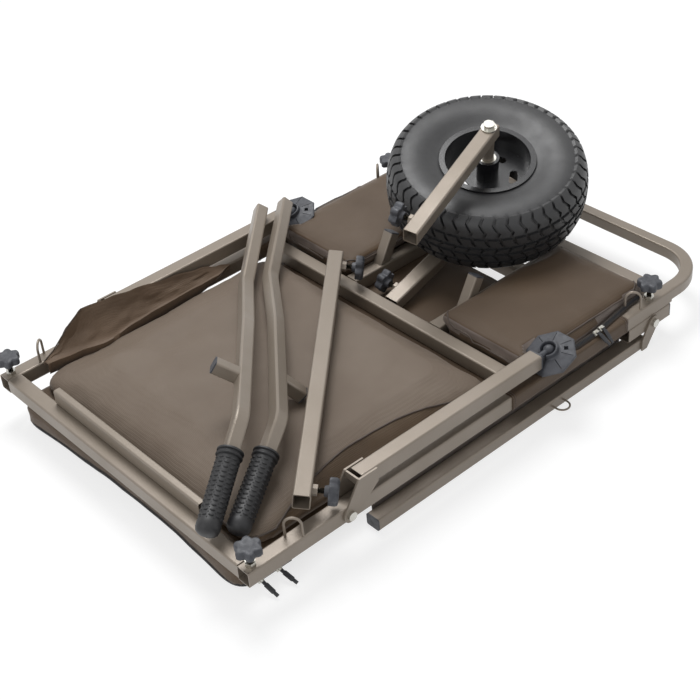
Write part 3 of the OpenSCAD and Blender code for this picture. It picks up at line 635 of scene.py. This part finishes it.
light_cloth = surface("light_cloth", cloth_tree, (("#756759", "#6d5f52"), (7.0, 160.0), (0.5, 0.66)),
                      bump=0.00035, specular=0.35, sheen=0.08)
BROWN = (("#564431", "#4b3b2b"), (8.0, 160.0), (0.48, 0.66))
brown_cloth = surface("brown_cloth", cloth_tree, BROWN, bump=0.00035, specular=0.35, sheen=0.08)
PANEL_ENDS = (-391 * MM, 72 * MM)
PANEL_FAR = 270 * MM
NEAR_WAIST = (-160 * MM, 224 * MM, 44 * MM, 200 * MM)
NEAR_MOST = 262 * MM
CORNER_BLEND = 60 * MM
PANEL_LOW = 66 * MM
SEAM_CENTRE = Vector((-160 * MM, 0))
SEAM_POINTS = 180
CLOTH_FRAMES = 20
UNDER_LOADS = 60 * MM
LOWEST_TOP = 66 * MM


def past_panel(x, y):
    """How far a plan point lies outside the panel's seam, in metres."""
    waist_x, waist_y, swell, span = NEAR_WAIST
    near = min(waist_y + swell * ((x - waist_x) / span) ** 2, NEAR_MOST)
    most = -1.0
    for value in (x - PANEL_ENDS[1], PANEL_ENDS[0] - x, y - PANEL_FAR, -y - near):
        soft = max(CORNER_BLEND - abs(most - value), 0) / CORNER_BLEND
        most = max(most, value) + soft ** 3 * CORNER_BLEND / 6
    return most


def panel_material():
    """Light cloth inside the panel's seam and brown cloth outside it."""
    material = light_cloth.copy()
    material.name = "panel_cloth"
    tree = material.node_tree
    shader = tree.nodes["Principled BSDF"]
    light = shader.inputs["Base Color"].links[0].from_socket
    place = next(n for n in tree.nodes if n.bl_idname == "ShaderNodeTexCoord").outputs["Object"]
    brown = tree.nodes.new("ShaderNodeGroup")
    brown.node_tree = cloth_tree
    tree.links.new(place, brown.inputs["Vector"])
    set_finish(brown, *BROWN)
    split = tree.nodes.new("ShaderNodeSeparateXYZ")
    tree.links.new(place, split.inputs[0])

    def maths(operation, *values):
        node = tree.nodes.new("ShaderNodeMath")
        node.operation = operation
        for socket, value in zip(node.inputs, values):
            if isinstance(value, (int, float)):
                socket.default_value = value
            else:
                tree.links.new(value, socket)
        return node.outputs[0]

    x, y, z = split.outputs
    waist_x, waist_y, swell, span = NEAR_WAIST
    bow = maths("POWER", maths("ABSOLUTE", maths("DIVIDE", maths("SUBTRACT", x, waist_x), span)), 2.0)
    near = maths("MINIMUM", maths("MULTIPLY_ADD", bow, swell, waist_y), NEAR_MOST)
    most = maths("SUBTRACT", x, PANEL_ENDS[1])
    for value in (maths("SUBTRACT", PANEL_ENDS[0], x), maths("SUBTRACT", y, PANEL_FAR),
                  maths("SUBTRACT", maths("MULTIPLY", y, -1.0), near)):
        most = maths("SMOOTH_MAX", most, value, CORNER_BLEND)
    below = spread(tree, z, PANEL_LOW, PANEL_LOW - 0.5 * MM)
    outside = maths("MAXIMUM", spread(tree, most, 0.0, 0.5 * MM), below)
    tree.links.new(blend_colour(tree, outside, light, brown.outputs["Color"]), shader.inputs["Base Color"])
    return material


panel_cloth = panel_material()


def soft_copy(node, shrink):
    """A merged copy of a node's solid, drawn in a little all round."""
    bm = bmesh.new()
    bm.from_mesh(nodes[node].data)
    bmesh.ops.remove_doubles(bm, verts=bm.verts, dist=1e-5)
    bm.normal_update()
    for v, normal in [(v, v.normal.copy()) for v in bm.verts]:
        v.co -= normal * shrink
    return bm


def inflate(obj, voxel, pressure, cap):
    """Blows a closed shell up as cloth, no point going further than the cap."""
    remesh = obj.modifiers.new("remesh", "REMESH")
    remesh.mode = "VOXEL"
    remesh.voxel_size = voxel
    apply_modifiers(obj)
    start = [v.co.copy() for v in obj.data.vertices]
    cloth = obj.modifiers.new("cloth", "CLOTH")
    cloth.settings.quality = 5
    cloth.settings.use_pressure = True
    cloth.settings.uniform_pressure_force = pressure
    cloth.settings.effector_weights.gravity = 0
    cloth.settings.tension_stiffness = 12
    cloth.settings.compression_stiffness = 12
    for step in range(1, CLOTH_FRAMES + 1):
        scene.frame_set(step)
    apply_modifiers(obj)
    scene.frame_set(1)
    for v, from_co in zip(obj.data.vertices, start):
        move = v.co - from_co
        if move.length > cap:
            v.co = from_co + move.normalized() * cap


def obstacle(names, gap):
    """Search tree over solids that a soft piece has to stay clear of."""
    bm = bmesh.new()
    for name in names:
        bm.from_mesh(nodes[name].data)
    tree = BVHTree.FromBMesh(bm)
    bm.free()
    return tree, gap


def load_above(tree, point):
    """Where a solid rests over a point of the bags' tops, if one does."""
    return tree.ray_cast(Vector((point.x, point.y, UNDER_LOADS)), Vector((0, 0, 1)), 200 * MM)[0]


def press_under(obj, blocked):
    """Lowers the points that lie against something resting on the piece."""
    tree, gap = blocked
    for v in obj.data.vertices:
        hit = load_above(tree, v.co)
        if hit is not None and v.co.z > hit.z - gap:
            v.co.z = max(hit.z - gap, min(v.co.z, LOWEST_TOP))


def finish_soft(piece, node, materials):
    """Dresses a bag's cloth and puts it in its node's place."""
    for material in materials:
        piece.data.materials.append(material)
    for polygon in piece.data.polygons:
        polygon.use_smooth = True
    fit(piece, node=node)


def ruck(piece, stretch, depth, low=-1.0, high=1.0):
    """Soft folds along the surface, from noise drawn out in one direction."""
    mesh = piece.data
    normals = [v.normal.copy() for v in mesh.vertices]
    for v, normal in zip(mesh.vertices, normals):
        if low < v.co.z < high:
            spot = Vector((v.co.x * stretch[0], v.co.y * stretch[1], v.co.z * stretch[2]))
            v.co += normal * depth * (fractal(spot, 0.7, 2.0, 3) - 0.15)
    mesh.update()


def share(value):
    """A value held between none and all."""
    return max(0.0, min(1.0, value))


def crease(piece, start, end, width, depth):
    """Presses one soft line into the top of a piece, in plan from start to end."""
    a = Vector(start) * MM
    along = Vector(end) * MM - a
    rises = [v.normal.z for v in piece.data.vertices]
    for v, rise in zip(piece.data.vertices, rises):
        if rise < 0.2:
            continue
        t = share((v.co.xy - a).dot(along) / along.length_squared)
        off = (v.co.xy - a - t * along).length / (width * MM)
        fade = math.sin(math.pi * min(1.0, 0.12 + t * 0.88)) ** 0.5
        v.co.z -= depth * MM * fade * math.exp(-off * off)
    piece.data.update()


LOOSE = ("left_handle", "right_handle", "left_grip", "right_grip", "left_plug", "right_plug", "cross_tube",
         "lower_fork_arm", "near_leg", "far_leg")
MAIN_CREASES = (((-330, -60), (-40, 150), 26, 2.4), ((-300, 120), (-60, 210), 22, 2.2),
                ((-350, 60), (-260, -170), 24, 2.0), ((-120, -210), (40, -120), 20, 2.0),
                ((-60, 60), (40, 190), 24, 1.8), ((-250, -220), (-140, -120), 18, 2.2),
                ((-290, 250), (-170, 120), 20, 3.0), ((-372, 250), (-250, 205), 16, 2.6))
MAIN_REAR = -399.5 * MM
MAIN_SHOULDER = 78 * MM
NEAR_EDGE = 70 * MM
NEAR_FALL = 0.3
resting = obstacle(LOOSE, 1.0 * MM)
main_bag = mesh_piece("main_bag_cloth", soft_copy("main_bag", 3 * MM))
inflate(main_bag, 6 * MM, 4, 7 * MM)
for start, end, width, depth in MAIN_CREASES:
    crease(main_bag, start, end, width, depth)
ruck(main_bag, (9, 14, 30), 1.6 * MM)
for v in main_bag.data.vertices:
    if v.co.z > MAIN_SHOULDER:
        v.co.x = max(v.co.x, MAIN_REAR)
    if v.co.y < 0 and v.co.z > NEAR_EDGE:
        v.co.z = max(v.co.z - NEAR_FALL * max(past_panel(v.co.x, v.co.y), 0.0), NEAR_EDGE)
press_under(main_bag, resting)
finish_soft(main_bag, "main_bag", (panel_cloth,))

BASE_END_FROM = -300 * MM
BASE_END_SPAN = 150 * MM
BASE_SIDE = 283 * MM
BASE_LOW, BASE_TOP = 0.4 * MM, 54.9 * MM
base_bag = mesh_piece("base_bag_cloth", soft_copy("base_bag", 5 * MM))
inflate(base_bag, 8 * MM, 3, 6 * MM)
ruck(base_bag, (12, 12, 45), 2.2 * MM, 2 * MM, 50 * MM)
for v in base_bag.data.vertices:
    end = share((BASE_END_FROM - v.co.x) / BASE_END_SPAN)
    across = share((v.co.y + BASE_SIDE) / (2 * BASE_SIDE))
    v.co.x += end * (12 - 6 * across + 13 * math.sin(math.pi * across)) * MM
    v.co.z = min(max(v.co.z, BASE_LOW), BASE_TOP)
finish_soft(base_bag, "base_bag", (brown_cloth,))


def tube_along(name, points, radius, material, closed=False):
    """Round cord or piping along a line of points, made a mesh."""
    line = bpy.data.curves.new(name, "CURVE")
    line.dimensions = "3D"
    line.bevel_depth = radius
    line.bevel_resolution = 2
    line.use_fill_caps = True
    spline = line.splines.new("POLY")
    spline.points.add(len(points) - 1)
    for slot, point in zip(spline.points, points):
        slot.co = (*point, 1)
    spline.use_cyclic_u = closed
    source = new_object(name + "_line", line)
    mesh = bpy.data.meshes.new_from_object(source)
    bpy.data.objects.remove(source)
    mesh.materials.clear()
    mesh.materials.append(material)
    for polygon in mesh.polygons:
        polygon.use_smooth = True
    return new_object(name, mesh)


def round_outline(x0, x1, y0, y1, radius, step=6):
    """Points round a rectangle with round corners, in millimetres."""
    points = []
    for cx, cy, turn in ((x1 - radius, y1 - radius, 0), (x0 + radius, y1 - radius, 90),
                         (x0 + radius, y0 + radius, 180), (x1 - radius, y0 + radius, 270)):
        for k in range(7):
            angle = math.radians(turn + 15 * k)
            points.append(Vector((cx + radius * math.cos(angle), cy + radius * math.sin(angle))))
    filled = []
    for a, b in zip(points, points[1:] + points[:1]):
        pieces = max(1, int((b - a).length / step))
        filled += [a.lerp(b, k / pieces) for k in range(pieces)]
    return filled


def laid_on(piece, outline, lift, side=1):
    """Drops plan points onto a piece from above."""
    tree = BVHTree.FromObject(piece, bpy.context.evaluated_depsgraph_get())
    laid = []
    for point in outline:
        above_it = Vector((point.x * MM, point.y * side * MM, 300 * MM))
        hit, normal = tree.ray_cast(above_it, Vector((0, 0, -1)))[:2]
        if hit is not None:
            laid.append(hit + normal * lift)
    return laid


piping = surface("piping", cloth_tree, (("#5b5048", "#4c433c"), (30.0, 300.0), (0.45, 0.6)),
                 bump=0.0002, specular=0.35)


def panel_seam():
    """Plan points round the panel's seam, found by stepping out from its middle."""
    points = []
    for k in range(SEAM_POINTS):
        turn = math.tau * k / SEAM_POINTS
        aim = Vector((math.cos(turn), math.sin(turn)))
        low, high = 50 * MM, 500 * MM
        for _ in range(24):
            middle = (low + high) / 2
            if past_panel(*(SEAM_CENTRE + middle * aim)) > 0:
                high = middle
            else:
                low = middle
        points.append((SEAM_CENTRE + low * aim) / MM)
    return points


def clear_of(points, blocked, sink):
    """Lowers points that come close under something resting there."""
    tree, gap = blocked
    for point in points:
        hit = load_above(tree, point)
        if hit is not None and point.z > hit.z - gap:
            point.z = hit.z - sink
    return points


seam = clear_of(laid_on(main_bag, panel_seam(), 0.2 * MM), resting, 4.2 * MM)
fit(tube_along("panel_piping", seam, 1.6 * MM, piping, closed=True))

# Gusset fold
# Spare brown cloth of the bag's far side, standing up in one fold before the
# leg's hinge. Its far edge is seamed straight, and a strip under its foot
# closes the gap down to the bag. The fold's cloth is painted a lighter brown
# than the other brown cloth: painted light on its steep face, which the lamps leave dim.
FOLD_RIDGE = ((-372, 84), (-352, 95), (-316, 126), (-290, 143), (-235, 137), (-195, 130), (-120, 117),
              (-60, 105), (-24, 92), (0, 84))
FOLD_FOOT = ((-372, 266), (-322, 258), (-272, 246), (-211, 256), (-168, 260), (-81, 263), (-40, 266),
             (0, 279))
FOLD_LENGTH = 372
FOLD_SEAM_Y = 280.6
FOLD_FOOT_Z = 83
FOLD_STRIP = 20
FOLD_DROPS = (1.5, 8, 20, 34)
HEM = ((-372, 280, 84.5), (-352, 279.8, 95.5), (-316, 279.8, 126.5), (-290, 279.8, 143))
# Painted light: a lighter copy of the brown cloth, standing in for light the fold's steep face does not get.
painted_light_fold_cloth = surface("painted_light_fold_cloth", cloth_tree, (("#6e5a48", "#604f3f"), (8.0, 160.0), (0.5, 0.66)),
                     bump=0.00035, specular=0.35, sheen=0.08)


def between(table, x):
    """Value at x on a line of corner points, eased between them."""
    for (x0, a), (x1, b) in zip(table, table[1:]):
        if x <= x1:
            t = max(0.0, (x - x0) / (x1 - x0))
            return a + (b - a) * t * t * (3 - 2 * t)
    return table[-1][1]


def fold_row(x):
    """Points up the fold's front and down its seamed back, in millimetres."""
    foot_y, ridge_z = between(FOLD_FOOT, x), between(FOLD_RIDGE, x)
    fade = share(-x / 90)
    foot_z = FOLD_FOOT_Z + 4 * fade
    hollow = math.exp(-((x + 320) / 34) ** 2) - 0.7 * math.exp(-((x + 262) / 22) ** 2)
    row = [Vector((x, foot_y + 1, foot_z - FOLD_STRIP * fade))]
    for j in range(17):
        t = j / 16
        belly = math.sin(math.pi * t)
        ripple = fade * fractal(Vector((x * 0.02, t * 2.2, 3.1)), 0.8, 2.0, 3)
        y = foot_y + (FOLD_SEAM_Y - foot_y) * (t ** 0.8) + belly * (5 * hollow + 4 * ripple)
        z = foot_z + (ridge_z - foot_z) * (t ** 1.5) - belly * 2.5 * hollow
        row.append(Vector((x, min(y, FOLD_SEAM_Y), z)))
    for drop in FOLD_DROPS:
        low = max(ridge_z - drop, foot_z - 8, LOWEST_TOP / MM)
        row.append(Vector((x, FOLD_SEAM_Y + 0.3 - 0.05 * drop, low)))
    return row


def strip_of(rows):
    """Sheet of quads between rows of points."""
    bm = bmesh.new()
    made = [[bm.verts.new(point) for point in row] for row in rows]
    for first, second in zip(made, made[1:]):
        for j in range(len(first) - 1):
            bm.faces.new((first[j], second[j], second[j + 1], first[j + 1]))
    return bm


def thicken(piece, wall):
    """Gives a sheet its wall."""
    thick = piece.modifiers.new("thick", "SOLIDIFY")
    thick.thickness = wall
    apply_modifiers(piece)


bm = strip_of([[point * MM for point in fold_row(FOLD_LENGTH * (i / 95 - 1))] for i in range(96)])
bmesh.ops.remove_doubles(bm, verts=bm.verts, dist=1e-5)
bmesh.ops.recalc_face_normals(bm, faces=bm.faces)
fold = mesh_piece("gusset_fold", bm, painted_light_fold_cloth, 70)
thicken(fold, 0.7 * MM)
fit(fold)
fit(tube_along("gusset_hem", [Vector(point) * MM for point in HEM], 1.0 * MM, piping))

# Side pockets
# A lid that overhangs the rail and the bay tube, piped round its rim, over a
# body of brown cloth with a taupe band and a zip along its outer side.
taupe_cloth = surface("taupe_cloth", cloth_tree, (("#7a6e66", "#665b54"), (26.0, 200.0), (0.4, 0.58)),
                      bump=0.0003, specular=0.4, sheen=0.08)
zip_tape = surface("zip_tape", cloth_tree, (("#3a342f", "#2f2a26"), (40.0, 420.0), (0.5, 0.65)),
                   bump=0.0002, specular=0.3)
pull_plastic = surface("pull_plastic", grain_tree, (("#2b2c30", "#222327"), (90.0, 800.0), (0.35, 0.5)),
                       bump=0.0001)
TAPE_SECTION = ((-4.5, 0.2), (-2.2, 0.7), (2.2, 0.7), (4.5, 0.2))
TOOTH = (1.3 * MM, 1.9 * MM, 0.9 * MM)
TOOTH_PITCH = 2.8 * MM
SLIDER_BLOCKS = (((-5, -4, 0.6), (5, 4, 1.8)), ((-5, -4, 2.8), (4, 4, 4.0)),
                 ((-1, -1.4, 1.2), (3, 1.4, 3.4)), ((-3, -1, 3.8), (-1.8, 1, 6.6)),
                 ((2, -1, 3.8), (3.2, 1, 6.6)), ((-3, -1, 6), (3.2, 1, 7)))
PULL_BLOCKS = (((-2.6, -0.7, 0), (2.6, 0.7, 7)), ((-3.6, -1.2, 6), (3.6, 1.2, 22)),
               ((-2.6, -1.0, 20), (2.6, 1.0, 30)))
under_feet = obstacle(("near_foot", "far_foot", "near_leg", "far_leg", "tyre", "tie_rings"), 1.2 * MM)


def frame_of(*axes):
    """Turn that brings X, Y and Z onto three directions."""
    return Matrix(axes).transposed().to_4x4()


def zip_line(name, points, outs):
    """Tape with two rows of teeth along a line; outs face away from the cloth."""
    rows = []
    for p, following, out in zip(points, points[1:] + [2 * points[-1] - points[-2]], outs):
        up = out.cross((following - p).normalized())
        rows.append([p + up * a * MM + out * b * MM for a, b in TAPE_SECTION])
    fit(mesh_piece(name + "_tape", strip_of(rows), zip_tape, 60))
    bm = bmesh.new()
    travelled, due = 0.0, 0.0
    for a, b, out in zip(points, points[1:], outs):
        length = (b - a).length
        while due <= travelled + length:
            spot = a.lerp(b, (due - travelled) / length)
            along = (b - a).normalized()
            up = out.cross(along).normalized()
            for lift in (-1, 1):
                place = spot + (up * lift * 0.9 + out * 1.1 + along * lift * 0.7) * MM
                tooth = bmesh.ops.create_cube(bm, size=1)["verts"]
                bmesh.ops.transform(bm, verts=tooth, matrix=Matrix.Translation(place)
                                    @ frame_of(along, up, out) @ Matrix.Diagonal((*TOOTH, 1)))
            due += TOOTH_PITCH
        travelled += length
    fit(mesh_piece(name + "_teeth", bm, pull_plastic, 30))


def small_blocks(name, blocks, radius, matrix, material):
    """Piece made of a few round-edged blocks."""
    bm = bmesh.new()
    for low, high in blocks:
        rounded_block(bm, low, high, radius)
    bm.transform(matrix)
    fit(mesh_piece(name, bm, material, 40))


def zip_slider(name, spot, along, out, hang):
    """Slider body with its bridge, a ring and a tapered pull tab."""
    body = Matrix.Translation(spot) @ frame_of(along, out.cross(along).normalized(), out)
    small_blocks(name + "_slider", SLIDER_BLOCKS, 0.45, body, zinc_plate)
    drop = hang.normalized()
    side = drop.cross(out).normalized()
    tab = Matrix.Translation(spot + out * 6.2 * MM) @ frame_of(side, side.cross(drop).normalized(), drop)
    small_blocks(name + "_pull", PULL_BLOCKS, 0.6, tab, pull_plastic)


def band_reach(x):
    """How far the lid's side band spreads out over the rail, in millimetres."""
    return share((x - 192) / 20) * max(3.0, min(16.0, 16 - 0.13 * (x - 257)))


POCKET_BODY = ((117, -282, 56), (392, -114, 98))
POCKET_LID = ((117, -283, 82.5), (393, -104, 103))
BODY_X = (113.5 * MM, 408 * MM)
BODY_Y = (-283.5 * MM, -112 * MM)
BODY_TOP, LID_SPLIT, LID_LOW, LID_SOFT = 79 * MM, 81.2 * MM, 81.4 * MM, 84 * MM
BAND_Y = -276 * MM
BAND_TOP = 99 * MM
ZIP_Y = 285.4
ZIP_Z = 85.6
SLEEVE_FROM, SLEEVE_TO = 61, 325
SLEEVE_STEPS = 66
SLEEVE_RING = round_outline(-311.2, -284.2, 53.9, 81.1, 5, 3)
SLEEVE_CENTRE = Vector((-297.7, 67.5))
STITCH_ROWS = (63.5, 67.5, 318.5, 322.5)


def shape_pocket(pocket):
    """Parts lid and body at a line and spreads the lid's outer band over the rail."""
    for v in pocket.data.vertices:
        if v.co.z < LID_SPLIT:
            v.co.x = min(max(v.co.x, BODY_X[0]), BODY_X[1])
            v.co.y = min(max(v.co.y, BODY_Y[0]), BODY_Y[1])
            v.co.z = min(v.co.z, BODY_TOP)
        elif v.co.z < LID_SOFT:
            v.co.z = LID_LOW
        if v.co.y < BAND_Y and v.co.z > 80 * MM:
            v.co.y -= band_reach(v.co.x / MM) * share((BAND_TOP - v.co.z) / (16 * MM)) * MM


def rail_sleeve(sign):
    """Slack tube of cloth round the rail, drawn in at both hemmed ends."""
    bm = bmesh.new()
    for k in range(SLEEVE_STEPS + 1):
        x = SLEEVE_FROM + (SLEEVE_TO - SLEEVE_FROM) * k / SLEEVE_STEPS
        near_end = math.exp(-min(x - SLEEVE_FROM, SLEEVE_TO - x) / 5)
        for point in SLEEVE_RING:
            slack = fractal(Vector((x * 0.022, point.x * 0.05, point.y * 0.05)), 0.7, 2.0, 3)
            away = (point - SLEEVE_CENTRE).normalized()
            spot = point + away * (0.55 * slack - 0.5 * near_end)
            bm.verts.new((x * MM, spot.x * sign * MM, spot.y * MM))
    bm.verts.ensure_lookup_table()
    count = len(SLEEVE_RING)
    for k in range(SLEEVE_STEPS):
        for j in range(count):
            a, b = k * count + j, k * count + (j + 1) % count
            bm.faces.new([bm.verts[i] for i in (a, b, b + count, a + count)])
    bmesh.ops.recalc_face_normals(bm, faces=bm.faces)
    return bm


def stitch_row(x, sign):
    """Short threads end to end round the sleeve."""
    bm = bmesh.new()
    for a, b in zip(SLEEVE_RING, SLEEVE_RING[1:] + SLEEVE_RING[:1]):
        run = b - a
        spot = (a + b) / 2 + 0.5 * Vector((run.y, -run.x)).normalized()
        stitch = bmesh.ops.create_cube(bm, size=1)["verts"]
        place = Matrix.Translation(Vector((x, spot.x * sign, spot.y)) * MM)
        bmesh.ops.transform(bm, verts=stitch, matrix=place
                            @ Matrix.Rotation(math.atan2(run.y, run.x * sign), 4, "X")
                            @ Matrix.Diagonal((0.55 * MM, run.length * 0.66 * MM, 0.6 * MM, 1)))
    return bm


def zip_spot(x, sign):
    """Point of the pocket's zip, low on the lid's outer band."""
    return Vector((x, -sign * (ZIP_Y + band_reach(x)), ZIP_Z)) * MM


for side, sign in (("near", 1), ("far", -1)):
    bm = bmesh.new()
    rounded_block(bm, *POCKET_BODY, 12)
    rounded_block(bm, *POCKET_LID, 8)
    pocket = mesh_piece(side + "_pocket_cloth", bm)
    inflate(pocket, 5 * MM, 3.5, 2.2 * MM)
    ruck(pocket, (16, 16, 40), 1.8 * MM, 60 * MM, 97 * MM)
    shape_pocket(pocket)
    if sign < 0:
        bm = bmesh.new()
        bm.from_mesh(pocket.data)
        bmesh.ops.scale(bm, verts=bm.verts, vec=(1, -1, 1))
        bmesh.ops.reverse_faces(bm, faces=bm.faces)
        bm.to_mesh(pocket.data)
        bm.free()
    press_under(pocket, under_feet)
    for polygon in pocket.data.polygons:
        level_side = abs(polygon.normal.z) < 0.62 and LID_SOFT < polygon.center.z < 102 * MM
        polygon.material_index = int(level_side)
    finish_soft(pocket, side + "_pocket", (brown_cloth, taupe_cloth))
    rim = laid_on(pocket, round_outline(118.5, 391, -282, -105.5, 26), 0.2 * MM, sign)
    rim = clear_of(rim, under_feet, 4 * MM)
    fit(tube_along(side + "_pocket_piping", rim, 1.5 * MM, piping, closed=True))
    sleeve = mesh_piece(side + "_rail_sleeve", rail_sleeve(sign), brown_cloth, 60)
    thicken(sleeve, 0.5 * MM)
    fit(sleeve)
    for number, x in enumerate(STITCH_ROWS):
        threads = mesh_piece(f"{side}_sleeve_stitch_{number}", stitch_row(x, sign), taupe_cloth, 60)
        fit(threads)
    out = Vector((0, -0.62 * sign, 0.785))
    line = [zip_spot(x, sign) for x in range(204, 386, 5)][::sign]
    zip_line(side + "_pocket_zip", line, [out] * len(line))
    if side == "near":
        for number, x in enumerate((258, 272)):
            zip_slider(f"near_pocket_zip_{number}", zip_spot(x, sign), Vector((1, 0, 0)), out,
                       Vector((0.35 - 0.2 * number, -0.55, -0.76)))

# Base bag zip
# A long zip of moulded teeth sewn round the open end of the base bag, with two
# pulls by its near corner.
BASE_ZIP_FROM = Vector((-250, 0, 14)) * MM
BASE_ZIP_TURNS = (118, 252)
BASE_ZIP_POINTS = 150
BASE_PULLS = (-394 * MM, -364 * MM)


def smoothed(points):
    """Points drawn towards the middle of their neighbours, the two ends kept."""
    inner = [(a + 2 * b + c) / 4 for a, b, c in zip(points, points[1:], points[2:])]
    return [points[0]] + inner + [points[-1]]


base_tree = BVHTree.FromObject(base_bag, bpy.context.evaluated_depsgraph_get())
line, outs = [], []
for k in range(BASE_ZIP_POINTS):
    first, last = (math.radians(turn) for turn in BASE_ZIP_TURNS)
    turn = first + (last - first) * k / (BASE_ZIP_POINTS - 1)
    hit, normal = base_tree.ray_cast(BASE_ZIP_FROM, Vector((math.cos(turn), math.sin(turn), 0)))[:2]
    out = Vector((normal.x, normal.y, 0)).normalized()
    line.append(Vector((hit.x, hit.y, BASE_ZIP_FROM.z)) + out * 0.8 * MM)
    outs.append(out)
for _ in range(6):
    line = smoothed(line)
    outs = [out.normalized() for out in smoothed(outs)]
zip_line("base_bag_zip", line, outs)
near_side = [k for k in range(80, BASE_ZIP_POINTS - 1) if line[k].y < -262 * MM]
for number, wanted in enumerate(BASE_PULLS):
    k = min(near_side, key=lambda i: abs(line[i].x - wanted))
    zip_slider(f"base_bag_zip_{number}", line[k] + outs[k] * 0.5 * MM, (line[k + 1] - line[k]).normalized(),
               outs[k], outs[k] * 0.9 + Vector((0.15, 0, -0.3)))

# Base bag side
# Taupe cloth of the base bag's near side, which shows between the rail and the
# lower arm. It is sewn in along its edges and lies in soft ripples.
SIDE_FROM, SIDE_TO = -196, 344
SIDE_PLANE = -283.2
SIDE_HEIGHTS = (3, 8, 16, 26, 36, 46, 54)
rows = []
for i in range(90):
    x = SIDE_FROM + (SIDE_TO - SIDE_FROM) * i / 89
    edge = SIDE_PLANE + 2.2 * (1 - math.sin(math.pi * i / 89) ** 0.3)
    rows.append([Vector((x, edge + 1.3 * abs(math.sin(x / 31 + z / 40)), z)) * MM for z in SIDE_HEIGHTS])
side_panel = mesh_piece("base_bag_side_panel", strip_of(rows), taupe_cloth, 70)
thicken(side_panel, 0.7 * MM)
fit(side_panel)
